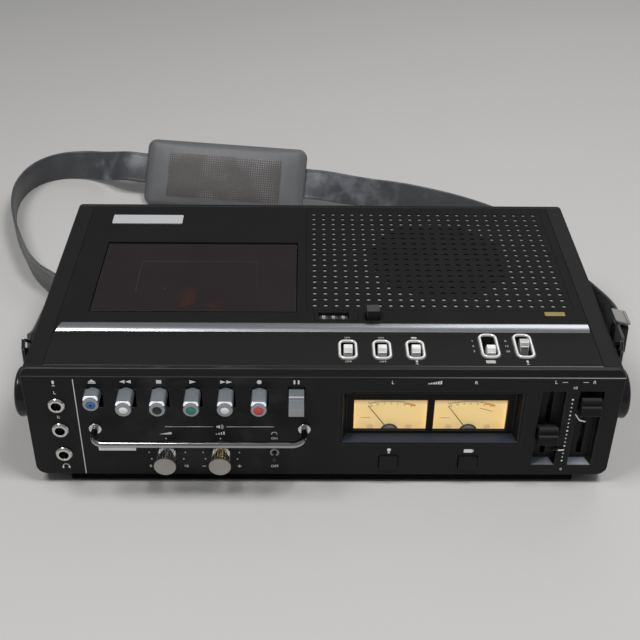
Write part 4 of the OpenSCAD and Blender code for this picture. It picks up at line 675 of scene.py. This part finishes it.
ownFaces = {  # faces with a finish of their own, found by normal and place
    "front_panel": [("bezelBlack", lambda n, x, y, z: z > 87 and n.z > 0.3 and n.y < -0.3)],
    # painted reflection: the bosses near the panel get a brighter chrome than the rod
    "key_guard": [("chromeBright", lambda n, x, y, z: y > -3.2)],
    "counter_reset": [("resetGrey", lambda n, x, y, z: n.z > 0.9)],
    "potentiometers": [("hubBlack", lambda n, x, y, z: x > 130),
                       ("bushingGrey", lambda n, x, y, z: abs(x + 31.5) < 8)],
}
ownEdges = {  # the same for eased edges: a painted highlight along the front edges, lighter towards the right, and painted shade inside the rails
    "front_panel": [("paintedEdgeHighlight", lambda n, x, y, z: -0.1 < y < 0.7 and 88.1 < z < 89.2)],
    "deck_panel": [("paintedEdgeHighlight", lambda n, x, y, z: 2.0 < y < 12.0 and 92.5 < z < 93.1)],
    # painted shade: the eased edges inside the rails are dark, as in the gap between rail and deck
    "side_panels": [("bezelBlack", lambda n, x, y, z: abs(x) < 181.0 and z > 90.0)],
}
unmarked = ("potentiometers", "key_guard")  # their eased edges keep the finish of the face
sharpBox = {"deck_panel": (-11.5, 67.5, 168.4, 203.6)}  # the seam round the grille
channel = {"x": (144.3, 168.3), "half": 7.7, "reach": 8, "deep": 6.0, "mitre": 3.2, "foot": (0, 6.2, 15, 21)}
needle = {"lean": 35.0, "pivotZ": 37.0, "hub": 5.0, "share": 0.55}
leverShare = 0.78


def slotOf(lookName):
    return 2 + extras.index(lookName)


def isLedge(f, y0, y1, z0, z1):  # sloping face that looks up and forward
    x, y, z = middle(f)
    return f.normal.z > 0.85 and f.normal.y < -0.05 and y0 < y < y1 and z0 < z < z1


def mitreLedges(bm):  # the channels' sloping feet are pale up to a slanted right end
    slant = Vector((channel["deep"], channel["mitre"], 0)).normalized()
    for x in channel["x"]:
        feet = [f for f in bm.faces if isLedge(f, *channel["foot"]) and abs(middle(f)[0] - x) < channel["reach"]]
        geom = {*feet, *(e for f in feet for e in f.edges), *(v for f in feet for v in f.verts)}
        cut(bm, (x + channel["half"], 0, 0), slant, list(geom))
    for f in bm.faces:
        if isLedge(f, *channel["foot"]):
            x, y, z = middle(f)
            x -= min(channel["x"], key=lambda c: abs(c - x)) + channel["half"]
            f.material_index = slotOf("ledgePale") if x * channel["deep"] + y * channel["mitre"] < 0 else 0


def thinNeedle(bm):  # beyond its hub the pointer is drawn out finer
    lean = radians(needle["lean"])
    along, across = Vector((-sin(lean), 0, cos(lean))), Vector((cos(lean), 0, sin(lean)))
    x = sum((min(v.co.x for v in bm.verts), max(v.co.x for v in bm.verts))) / 2
    far = max(bm.verts, key=lambda v: v.co.z)
    foot = far.co - along * (far.co - Vector((x, 0, needle["pivotZ"] * mm))).dot(along)
    pivot = Vector((foot.x, 0, foot.z))
    for v in bm.verts:
        away = v.co - pivot
        if away.dot(along) > needle["hub"] * mm:
            v.co -= across * away.dot(across) * (1 - needle["share"])


def thinLever(bm):  # the lever is narrower than the well it runs in
    centre = sum(v.co.x for v in bm.verts) / len(bm.verts)
    for v in bm.verts:
        v.co.x = centre + (v.co.x - centre) * leverShare


for node, (lookName, width, *edgeName) in dressed.items():
    bm = copyNode(node)
    if node == "front_panel":
        mitreLedges(bm)
    if node.startswith("needle_"):
        thinNeedle(bm)
    if node.endswith("_switch"):
        thinLever(bm)
    for extra, here in ownFaces.get(node, []):
        paint(bm.faces, slotOf(extra), here)
    eased = easeEdges(bm, width, mark=None if node in unmarked else 1, leave=sharpBox.get(node))
    for extra, here in ownEdges.get(node, []):
        paint(eased, slotOf(extra), here)
    asPiece(pieceName(node), bm, [lookName, *(edgeName or [lookName]), *extras], bodyOf(node), [node])
print("case dressed:", len(dressed), "nodes")


# Grille and loudspeaker
grille = {"box": (-11.0, 68.0, 167.9, 203.1), "first": (-5.5, 73.5), "pitch": 7.3, "columns": 24, "rows": 18,
          "hole": 1.6, "sides": 16, "sheet": 0.8, "gap": 0.3, "low": 90.55,
          "mouth": (84.0, 133.6, 48.9, 50.6), "mouthSides": 96, "far": 200}


def makeGrille():
    bm = bmesh.new()
    half = grille["pitch"] / 2
    turns = [2 * pi * k / grille["sides"] for k in range(grille["sides"])]
    holes = [grille["hole"]] * grille["sides"]
    cells = [half / max(abs(cos(a)), abs(sin(a))) for a in turns]
    for i in range(grille["columns"]):
        for j in range(grille["rows"]):
            x, y = (grille["first"][k] + grille["pitch"] * (i, j)[k] for k in (0, 1))
            bridge(bm, *([bm.verts.new(spot(x + r * cos(a), y + r * sin(a), deckZ)) for a, r in zip(turns, radii)]
                         for radii in (holes, cells)))
    bmesh.ops.remove_doubles(bm, verts=bm.verts, dist=1e-5)
    x0, y0, x1, y1 = grille["box"]
    low = spot(*(c - half for c in grille["first"]), 0)
    high = low + Vector((grille["columns"], grille["rows"], 0)) * grille["pitch"] * mm

    def outside(v):  # on which sides of the field of holes a point lies: left, front, right, back
        return [abs(v.co[k] - corner[k]) < 1e-5 for corner in (low, high) for k in (0, 1)]

    edge = [e for e in bm.edges if e.is_boundary and all(any(outside(v)) for v in e.verts)]
    for v in vertsIn(bmesh.ops.extrude_edge_only(bm, edges=edge)["geom"]):  # plain border out to the plate's edge
        left, front, right, back = outside(v)
        v.co.x = spot(x0 if left else x1, 0, 0).x if left or right else v.co.x
        v.co.y = spot(0, y0 if front else y1, 0).y if front or back else v.co.y
    thicken(bm, bm.faces[:], (0, 0, -grille["sheet"] * mm))
    asPiece("grillePlate", bm, ["deckSatin"], stands=["speaker_grille"], flats=False, smooth=30)
    bm = bmesh.new()  # pale sheet under the holes, with a flat dark disc over the loudspeaker's mouth standing in for the dim, shaded cone seen through the holes (painted shade)
    (mx, my, ma, mb), far = grille["mouth"], grille["far"]
    ways = [2 * pi * k / grille["mouthSides"] for k in range(grille["mouthSides"])]
    inner = [(mx + ma * cos(a), my + mb * sin(a)) for a in ways]
    outer = [(min(max(mx + far * cos(a), x0), x1), min(max(my + far * sin(a), y0), y1)) for a in ways]
    rings = [[bm.verts.new(spot(x, y, z)) for x, y in ring]
             for z in (deckZ - grille["sheet"] - grille["gap"], grille["low"]) for ring in (inner, outer)]
    for a, b in ((0, 1), (1, 3), (3, 2), (2, 0)):
        bridge(bm, rings[a], rings[b])
    # painted shade: the dark disc over the mouth
    for ring in (rings[0], rings[2]):
        bm.faces.new(ring).material_index = 1
    bmesh.ops.remove_doubles(bm, verts=bm.verts, dist=1e-5)
    bmesh.ops.dissolve_degenerate(bm, dist=1e-6, edges=bm.edges)
    faceOut(bm)
    asPiece("grilleBacking", bm, ["baffleZinc", "conePaper"], smooth=30)
    asPiece("loudspeaker", copyNode("speaker"), ["conePaper"], stands=["speaker"], smooth=30)


makeGrille()

# Trim bar and plates
trim = {"cut": (-171.5, 47.2, 93), "slant": 20.0, "crest": 94.3, "round": 1.6, "badge": (-157, 181.2, -104.5, 194),
        "yellow": (147.5, 61.4, 161, 66), "frontPlate": (-145, 28.5, -121, 32.7),
        "divider": (-155.7, 8.6, -155.1, 86.5)}


def makeTrim():
    bm = copyNode("trim_bar")
    slant = radians(trim["slant"])
    cut(bm, trim["cut"], (-cos(slant), sin(slant), 0), clear_outer=True)
    bmesh.ops.holes_fill(bm, edges=[e for e in bm.edges if e.is_boundary])
    crest = [e for e in bm.edges if min(v.co.z for v in e.verts) > trim["crest"] * mm
             and abs(e.verts[0].co.x - e.verts[1].co.x) > 0.1]
    bevel(bm, crest, trim["round"], 5)
    easeEdges(bm, 0.3, over=40)
    asPiece("trimBar", bm, ["trimBrushed"], stands=["trim_bar"], smooth=50)
    bm = bmesh.new()
    slab(bm, rounded(*trim["badge"], 0.8), onDeck, 0.7)
    slab(bm, rounded(*trim["yellow"], 0.4), onDeck, 0.25, 1)
    slab(bm, rounded(*trim["frontPlate"], 0.4), onFront, 0.3)
    slab(bm, block(*trim["divider"]), onFront, 0.25)
    easeEdges(bm, 0.08, over=50)
    asPiece("barePlates", bm, ["plateBrushed", "plateYellow"])


makeTrim()

# Keys
keys = {"first": -143.8, "pitch": 20.7, "z": 74.7, "reach": 16.0, "ejectReach": 11.0, "pauseX": -17.2,
        "dots": {"key_eject": "dotBlue", "key_rewind": "dotWhite", "key_stop": "dotBlack", "key_play": "dotGreen",
                 "key_forward": "dotWhite", "key_record": "dotRed"},
        "dot": [(0, 0.62), (1.2, 0.58), (2.2, 0.42), (2.75, 0.2), (2.95, 0.02), (0, 0.0)], "dotIn": 0.42,
        "centre": [(0, 0.22), (0.9, 0.18), (1.35, 0.0), (0, -0.1)], "centreY": -11.05}


def makeKeys():
    for i, (node, dotLook) in enumerate(keys["dots"].items()):
        reach = keys["ejectReach"] if i == 0 else keys["reach"]
        bm = copyNode(node)
        paint(bm.faces, 2, lambda n, x, y, z: n.y < -0.9 and y < 0.1 - reach)
        # painted highlight: the facet near the tip gets a near-white finish
        paint(bm.faces, 1, lambda n, x, y, z: n.y < -0.3 and n.z > 0.3 and y < 5 - reach)
        easeEdges(bm, 0.2)
        asPiece(pieceName(node), bm, ["keyGrey", "keyBright", "keyRing"], node, [node])
        bm = bmesh.new()
        turned(bm, keys["dot"], spot(keys["first"] + keys["pitch"] * i, keys["dotIn"] - reach, keys["z"]))
        asPiece(node.replace("key_", "") + "Dot", bm, [dotLook], node, flats=False)
    bm = bmesh.new()
    turned(bm, keys["centre"], spot(keys["first"], keys["centreY"], keys["z"]), 32)
    asPiece("ejectDotCentre", bm, ["dotBlack"], "key_eject", flats=False)
    bm = copyNode("key_pause")
    paint(bm.faces, 1, lambda n, x, y, z: n.y < -0.5 and y < 0)
    easeEdges(bm, 0.3)
    asPiece("pauseKey", bm, ["keyGrey", "keyRing"], "key_pause", ["key_pause"])


makeKeys()
print("keys made")

# Clear knobs
knob = {"z": 26.9, "body": 6.0, "groove": 0.55, "ribs": 18, "bore": 3.6, "front": -13.0, "back": -1.2,
        "core": [(0, -7), (2.95, -7), (2.95, 0.6), (2.6, 0.8), (2.6, 12.6), (2.2, 13.0), (0, 13.0)],
        "end": [(0, 13.0), (6.75, 13.0), (7.05, 13.25), (7.05, 13.9), (6.7, 14.2), (5.85, 14.2), (5.45, 14.08),
                (0, 14.05)]}


def makeKnob(node, x, coreLook):
    name = node.replace("_knob", "Knob")
    bm = bmesh.new()
    n = knob["ribs"] * 2
    outer = [(knob["body"] - knob["groove"] * (i % 2), 2 * pi * i / n) for i in range(n)]
    back = [bm.verts.new(spot(x + r * cos(a), knob["back"], knob["z"] + r * sin(a))) for r, a in outer]
    edges = [bm.edges.new((back[i], back[(i + 1) % n])) for i in range(n)]
    seat = Matrix.Translation(spot(x, knob["back"], knob["z"])) @ Matrix.Rotation(pi / 2, 4, "X")
    ring = bmesh.ops.create_circle(bm, segments=n, radius=knob["bore"] * mm, matrix=seat)
    edges += list({e for v in ring["verts"] for e in v.link_edges})
    wall = bmesh.ops.bridge_loops(bm, edges=edges)["faces"]
    thicken(bm, wall, (0, (knob["front"] - knob["back"]) * mm, 0))
    asPiece(name + "Body", bm, ["knobAcrylic"], node, [node], flats=False, smooth=25)
    for part, lookName in (("core", coreLook), ("end", "knobMetal")):
        bm = bmesh.new()
        turned(bm, knob[part], spot(x, 0, knob["z"]))
        asPiece(name + part.capitalize(), bm, [lookName], node, smooth=30)


makeKnob("volume_knob", -101.1, "stemGrey")
makeKnob("tone_knob", -66.1, "stemGold")

# Meters
meter = {"middles": (43.05, 94.55), "wide": 47.0, "low": 40.0, "high": 65.0, "paneY": (7.7, 9.1), "dialY": 12.4,
         "ledge": (-1, 8, 34, 38), "arcR": 45.0, "arcTop": 60.0, "numbers": ["20", "10", "7", "5", "3", "0", "3"],
         "line": (-14, 9.2, 0, 0.3), "hot": (9.6, 17, -0.3, 1.5), "ticks": 17, "tickPitch": 1.45, "tickHalf": 0.12,
         "tick": (-0.9, 0.1), "longTick": (-1.6, 0.1), "numberFirst": -13.2, "numberPitch": 4.6, "numberDrop": 2.0,
         "numberHigh": 1.5, "bandStep": 1.2,
         "check": [(6.5, 54.2), (15, 51.6), (15.1, 51.95), (6.6, 54.55)], "rule": (-18.5, 46.2, -12.4, 46.45)}
hub = {"z": 37.4, "r": 5.9, "y": 9.95, "thick": 0.45, "coreR": 4.6, "coreY": 9.5, "coreThick": 0.15,
       "screw": [(0, 0.9), (1.5, 0.8), (2.3, 0.45), (2.6, 0.0)], "screwX": 12.7, "screwY": 12.35, "screwZ": 38.8}


def inPane(f):
    x, y, z = middle(f)
    across = min(abs(x - mid) for mid in meter["middles"])
    return (across < meter["wide"] / 2 - 0.01 and meter["low"] + 0.01 < z < meter["high"] - 0.01
            and meter["paneY"][0] < y < meter["paneY"][1])


def makeWindow(part):  # the bezel and its panes are one node, split along the window edges
    bm = bmesh.new()
    bm.from_mesh(frame["nodes"]["meter_bezel"].data)
    cuts = [((mid + b * meter["wide"] / 2, 0, 0), (1, 0, 0)) for mid in meter["middles"] for b in (-1, 1)]
    for at, way in cuts + [((0, 0, meter[k]), (0, 0, 1)) for k in ("low", "high")]:
        cut(bm, at, way)
    bmesh.ops.delete(bm, geom=[f for f in bm.faces if inPane(f) == (part == "bezel")], context="FACES")
    meltFlats(bm)
    return bm


def arcPoint(u, drop=0.0):
    r, a = meter["arcR"] - drop, u / meter["arcR"]
    return r * sin(a), meter["arcTop"] - meter["arcR"] + r * cos(a)


def band(bm, u0, u1, d0, d1, place, mark=0):  # a strip along the scale
    n = max(2, int((u1 - u0) / meter["bandStep"]))
    us = [u0 + (u1 - u0) * i / n for i in range(n + 1)]
    slab(bm, [arcPoint(u, d0) for u in us] + [arcPoint(u, d1) for u in reversed(us)], place, mark=mark)


def halfDisc(r, step):
    return [(r * cos(radians(a)), hub["z"] + r * sin(radians(a))) for a in range(0, 181, step)]


def makeMeters():
    bm = makeWindow("bezel")
    for f in bm.faces:
        if isLedge(f, *meter["ledge"]):
            f.material_index = 2
    easeEdges(bm, 0.3, mark=1)
    asPiece("meterBezel", bm, ["bezelBlack", "caseEdge", "ledgeSlate"], stands=["meter_bezel"])
    asPiece("meterPanes", makeWindow("pane"), ["lensClear"])
    bm = copyNode("meters")
    paint(bm.faces, 1, lambda n, x, y, z: y >= meter["dialY"] + 0.1)
    asPiece("meterCups", bm, ["dialAmberPaintedLight", "mouldedBlack"], stands=["meters"])
    bm = bmesh.new()
    for x in meter["middles"]:
        def onDial(u, v, out, x=x):
            return spot(x + u, meter["dialY"] - inkLift - out, v)

        band(bm, *meter["line"], onDial)
        band(bm, *meter["hot"], onDial, 1)
        for i in range(meter["ticks"]):
            u = meter["line"][0] + i * meter["tickPitch"]
            band(bm, u - meter["tickHalf"], u + meter["tickHalf"], *meter["tick" if i % 3 else "longTick"], onDial)
        for i, number in enumerate(meter["numbers"]):
            u, v = arcPoint(meter["numberFirst"] + i * meter["numberPitch"], meter["numberDrop"])
            words(bm, number, u, v, meter["numberHigh"], onDial)
        if x == meter["middles"][1]:  # supply check line
            slab(bm, meter["check"], onDial)
        slab(bm, block(*meter["rule"]), onDial)
    asPiece("dialPrint", bm, ["dialInk", "dialOrangePaintedGlow"], flats=False)
    bm = bmesh.new()
    for x in meter["middles"]:
        slab(bm, halfDisc(hub["r"], 10), lambda u, v, out: spot(x + u, hub["y"] - out, v), hub["thick"])
        slab(bm, halfDisc(hub["coreR"], 12), lambda u, v, out: spot(x + u, hub["coreY"] - out, v), hub["coreThick"], 1)
        for side in (-1, 1):
            turned(bm, hub["screw"], spot(x + side * hub["screwX"], hub["screwY"], hub["screwZ"]), 24)
    paint(bm.faces, 2, lambda n, x, y, z: y > hub["y"] + 1)
    asPiece("dialHubs", bm, ["hubBlack", "screwSteel", "screwAmberPaintedGlow"])


makeMeters()
print("meters made")

# Level knobs with white pointers: rest height, side of the pointer and its outline
level = {"level_knob_left": (43.0, 1, [(8, -12.8), (11.9, -12.55), (11.9, -11.6), (8, -11.8)]),
         "level_knob_right": (67.0, -1, [(1.6, -12.5), (5.7, -11.5), (8.9, -6.6), (8.9, -5.6), (5.5, -10.5),
                                         (1.6, -11.5)])}
tab = {"y": -1.42, "thick": 0.15}


def makeLevels():
    for at, (node, (rest, towards, pointer)) in zip(channel["x"], level.items()):
        bm = copyNode(node)
        # painted light: the tops get a lighter grey than the sides
        paint(bm.faces, 2, lambda n, x, y, z: n.z > 0.8 and z > rest)
        easeEdges(bm, 0.3, mark=1)
        asPiece(pieceName(node), bm, ["bezelBlack", "mouldedBlack", "resetGrey"], node, [node])
        bm = bmesh.new()
        slab(bm, pointer, lambda u, v, out: spot(at + towards * u, tab["y"] - out, rest + v), tab["thick"])
        asPiece(node.replace("level_knob_", "") + "Pointer", bm, ["printWhite"], node)


makeLevels()


# Slide switches: round-cornered rims over the bodies, with a flat dark ring round each for the shade of the gap
# (painted shade); short ones first, then long ones
rims = {"x": (15.1, 36.7, 57.9, 105.3, 127.3), "short": 3, "back": (23.3, 27.0), "half": (10.15, 13.0), "wide": 6.05,
        "round": 4.4, "shift": (-0.7, 0.0), "less": (0.15, 0.3),
        "profile": [(0, 93.0), (0, 93.8), (0.35, 94.3), (0.85, 94.5), (1.3, 94.35), (1.6, 94.0), (1.7, 93.1)],
        "groove": [(-0.55, 92.98), (-0.55, 93.05), (0.3, 93.05), (0.3, 92.9)]}
plain = {"inset": 0.7, "side": 4.1, "end": 2.1, "high": 0.1}  # how the plain rims sink under the round ones


def makeSwitches():
    bm = copyNode("slide_switches")
    for v in bm.verts:
        x, y, z = v.co.x * 1000, v.co.y * 1000 - frontY, v.co.z * 1000
        if z < deckZ - 0.01:
            continue
        at = min(range(len(rims["x"])), key=lambda i: abs(rims["x"][i] - x))
        mid, half = (rims[k][at >= rims["short"]] for k in ("back", "half"))
        dx, dy = x - rims["x"][at], y - mid
        dx -= copysign(plain["inset"], dx) if abs(dx) > plain["side"] else 0
        dy -= copysign(plain["inset"], dy) if abs(dy) > half - plain["end"] else 0
        v.co = spot(rims["x"][at] + dx, mid + dy, deckZ + (z - deckZ) * plain["high"])
    for at, x in enumerate(rims["x"]):
        back, shift, half, less = (rims[k][at >= rims["short"]] for k in ("back", "shift", "half", "less"))
        y, w, h = back + shift, rims["wide"], half - less
        # the groove part is a flat dark ring just over the deck: painted shade
        for part, mark in (("profile", 1), ("groove", 0)):
            loops = [[bm.verts.new(spot(x + u, y + v, z)) for u, v in
                      rounded(inset - w, inset - h, w - inset, h - inset, rims["round"] - inset)]
                     for inset, z in rims[part]]
            made = []
            for a, b in zip(loops, loops[1:] + loops[:1]):
                for k in range(len(a)):
                    n = (k + 1) % len(a)
                    made.append(bm.faces.new((a[k], a[n], b[n], b[k])))
                    made[-1].material_index = mark
            bmesh.ops.recalc_face_normals(bm, faces=made)
    asPiece(pieceName("slide_switches"), bm, ["hubBlack", "rimChrome"], stands=["slide_switches"], smooth=50)


makeSwitches()


# Counter: left edge of each wheel and the digit that it shows
counter = {"turn": 11.0, "digit": 3.9, "axisY": 61.1, "axisZ": 84.1, "r": 6.2, "tyre": 7.35, "half": 3.1, "step": 36,
           "wheels": {"counter_wheel_hundreds": (-2.8, 8), "counter_wheel_tens": (3.65, 6),
                      "counter_wheel_units": (10.1, 6)}}


def makeCounter():
    for node, (left, shown) in counter["wheels"].items():
        bm = copyNode(node)
        for v in bm.verts:  # the printed tyre stands proud of the bare wheel
            y, z = v.co.y * 1000 - frontY - counter["axisY"], v.co.z * 1000 - counter["axisZ"]
            away = (y * y + z * z) ** 0.5
            if away > counter["r"] - 0.3:
                grow = counter["tyre"] / away
                v.co = spot(v.co.x * 1000, counter["axisY"] + y * grow, counter["axisZ"] + z * grow)
        easeEdges(bm, 0.2)
        for digit in range(10):
            a = radians(counter["step"] * (digit - shown) + counter["turn"])

            def onRim(u, v, out, a=a, left=left):
                r, b = counter["tyre"] + inkLift + out, a + v / counter["tyre"]
                return spot(left + counter["half"] + u, counter["axisY"] + r * sin(b), counter["axisZ"] + r * cos(b))

            words(bm, str(digit), 0, 0, counter["digit"], onRim, 1)
        asPiece(pieceName(node), bm, ["wheelBlack", "digitGrey"], node, [node], flats=False)


makeCounter()


# Printed marks: only plain signs, numbers and letters
def arrow(x, z, size, way):
    return [(x - way * size * 0.45, z - size / 2), (x + way * size * 0.55, z), (x - way * size * 0.45, z + size / 2)]


def arc(x, y, r, w, a0, a1):
    angles = [radians(a0 + (a1 - a0) * i / 10) for i in range(11)]
    return ([(x + r * cos(a), y + r * sin(a)) for a in angles]
            + [(x + (r - w) * cos(a), y + (r - w) * sin(a)) for a in reversed(angles)])


def microphone(x, y):
    return [rounded(x - 0.7, y - 0.3, x + 0.7, y + 2.3, 0.65), block(x - 0.18, y - 1.7, x + 0.18, y - 0.7),
            block(x - 1.0, y - 2.1, x + 1.0, y - 1.7)]


def loudspeaker(x, y):
    horn = [(-2, -0.7), (-1, -0.7), (0.3, -1.6), (0.3, 1.6), (-1, 0.7), (-2, 0.7)]
    return [[(x + u, y + v) for u, v in horn], *(arc(x, y, r, 0.35, -50, 50) for r in (1.6, 2.5))]


def keySigns(z):
    x = [keys["first"] + keys["pitch"] * i for i in range(6)]
    signs = [[(x[0] - 2.4, z - 0.4), (x[0] + 2.4, z - 0.4), (x[0], z + 1.7)],
             block(x[0] - 2.4, z - 1.5, x[0] + 2.4, z - 0.8), block(x[2] - 1.6, z - 1.3, x[2] + 1.6, z + 1.3),
             arrow(x[3], z, 2.8, 1.4), disc(x[5], z, 1.5, 20)]
    for side in (-1, 1):
        pause = keys["pauseX"] + side * 1.3
        signs += [arrow(x[1] + side * 1.9, z, 2.6, -1.3), arrow(x[4] + side * 1.9, z, 2.6, 1.3),
                  block(pause - 0.55, z - 1.5, pause + 0.55, z + 1.5)]
    return signs


def knobDots(x):
    beside = ((-11.7, 26.8), (-10.4, 21.2), (11.7, 26.8), (10.4, 21.2))
    return [disc(x, 38.6, 0.5), *(disc(x + u, z, 0.45) for u, z in beside)]


jackX = -167.8
frontSigns = [
    *keySigns(84.8), *microphone(jackX, 83.2), arc(jackX, 14.6, 2.3, 0.5, 0, 180), arc(-31.5, 42.4, 2.0, 0.45, 0, 180),
    *(rounded(jackX + u - 0.55, 13.0, jackX + u + 0.55, 15.0, 0.3) for u in (-2.0, 2.0)),
    *loudspeaker(-66.3, 48.6), *knobDots(-101.1), *knobDots(-66.1),
    [(-105, 42.2), (-97.2, 42.2), (-97.2, 44.2)],  # rising wedge over the volume knob
    *(block(-66.1 + u - 0.4, 42.0, -66.1 + u + 0.4, 42.8 + 0.6 * i) for i, u in enumerate((-2.4, -0.8, 0.8, 2.4))),
    *(block(64.6 + i * 1.5, 83.6, 65.6 + i * 1.5, 84.4 + 0.35 * i) for i in range(6)),
    disc(42.8, 29.4, 1.3, 16),  # lamp, with its cap in the blocks
    *(disc(156.6, 20.4 + i * 3.2, 0.5 if i % 4 else 0.68) for i in range(17)),
]
frontBlocks = [
    (-101, 48.45, -70.5, 48.75), (-62, 48.45, -31.6, 48.75), (-79.0, 14.7, -76.4, 15.1), (-55.8, 14.7, -53.2, 15.1),
    (-54.7, 13.6, -54.3, 16.2), (42.1, 27.2, 43.5, 27.8), (42.1, 26.5, 43.5, 27.0), (91.6, 27.2, 97.2, 30.0),
    (97.4, 28.0, 98.0, 29.2), (148.0, 85.3, 151.5, 85.6), (161.2, 85.3, 164.7, 85.6),
]
frontWords = [
    ("L", jackX, 75.8, 2.4), ("R", jackX, 56.0, 2.4), ("0", -112.6, 14.9, 2.2), ("10", -89.4, 14.9, 2.2),
    ("ON", -31.5, 38.9, 1.9), ("OFF", -31.5, 14.9, 2.1), ("L", 42.6, 84.8, 2.5), ("R", 94.6, 84.8, 2.5),
    ("L", 144.3, 85.4, 2.5), ("R", 168.3, 85.4, 2.5), ("10", 156.7, 81.0, 2.2), ("0", 157.0, 12.9, 2.2),
]
deckSigns = [rounded(56.0, 35.3, 59.8, 37.0, 0.7), rounded(101.2, 9.4, 107.2, 12.4, 0.5), *microphone(57.9, 10.2),
             *microphone(127.3, 10.2)]
deckWords = [(text, x, y, high) for x in (15.1, 36.7) for text, y, high in (("ON", 36.0, 1.7), ("OFF", 10.6, 1.8))]
for x, numbers in ((95.2, ("1", "2", "3")), (116.6, ("0", "15", "30"))):
    deckWords += [(number, x, 33.0 - i * 5.6, 1.9) for i, number in enumerate(numbers)]
lidDots = [disc(-107.9, 92.9, 0.4), disc(-58.4, 93.4, 0.4)]


def printMarks(name, lookName, signs, lettering, place, body="case"):
    bm = bmesh.new()
    for outline in signs:
        slab(bm, outline, place)
    for text, u, v, high in lettering:
        words(bm, text, u, v, high, place)
    asPiece(name, bm, [lookName], body, flats=False)


printMarks("frontMarks", "printWhite", frontSigns + [block(*sides) for sides in frontBlocks], frontWords, onFront)
printMarks("deckMarks", "printGrey", deckSigns, deckWords, onDeck)
printMarks("lidDots", "bandGrey", lidDots, [], onDeck, "lid")
print("marks printed")


# Floor and light
stageSet = {"floor": (0.4, 0.392, 0.385), "half": 6.0, "sky": 0.23, "skyTint": (0.95, 0.97, 1.0, 1)}
lamps = {  # place, aim, size in metres and power
    "keyBox": ((420, -220, 1450), (0, 60, 30), 0.4, 15.5),
    "fillBox": ((-560, -210, 1400), (0, 60, 30), 0.5, 13.2),
    "rimBox": ((560, 900, 820), (0, 120, 60), 0.8, 3.0),
}


def lightStage():
    bm = bmesh.new()
    bmesh.ops.create_grid(bm, x_segments=2, y_segments=2, size=stageSet["half"])
    mesh = bpy.data.meshes.new("floor")
    bm.to_mesh(mesh)
    bm.free()
    mesh.materials.append(finish("floorPaper", stageSet["floor"], 0.7, mottle=0.03, patch=3, grain=0.1))
    floor = addObject("floor", mesh)
    world = bpy.data.worlds.new("softRoom")
    bpy.context.scene.world = world
    world.use_nodes = True
    sky = world.node_tree.nodes["Background"].inputs
    sky["Color"].default_value, sky["Strength"].default_value = stageSet["skyTint"], stageSet["sky"]
    for name, (place, aim, size, power) in lamps.items():
        lamp = bpy.data.lights.new(name, "AREA")
        lamp.size, lamp.energy = size, power
        rig = addObject(name, lamp)
        rig.location = spot(*place)
        rig.visible_glossy = name != "keyBox"
        rig.rotation_mode = "QUATERNION"
        rig.rotation_quaternion = (spot(*aim) - spot(*place)).to_track_quat("-Z", "Y")
    bpy.context.scene.view_settings.view_transform = "Standard"


lightStage()
print("scene ready")
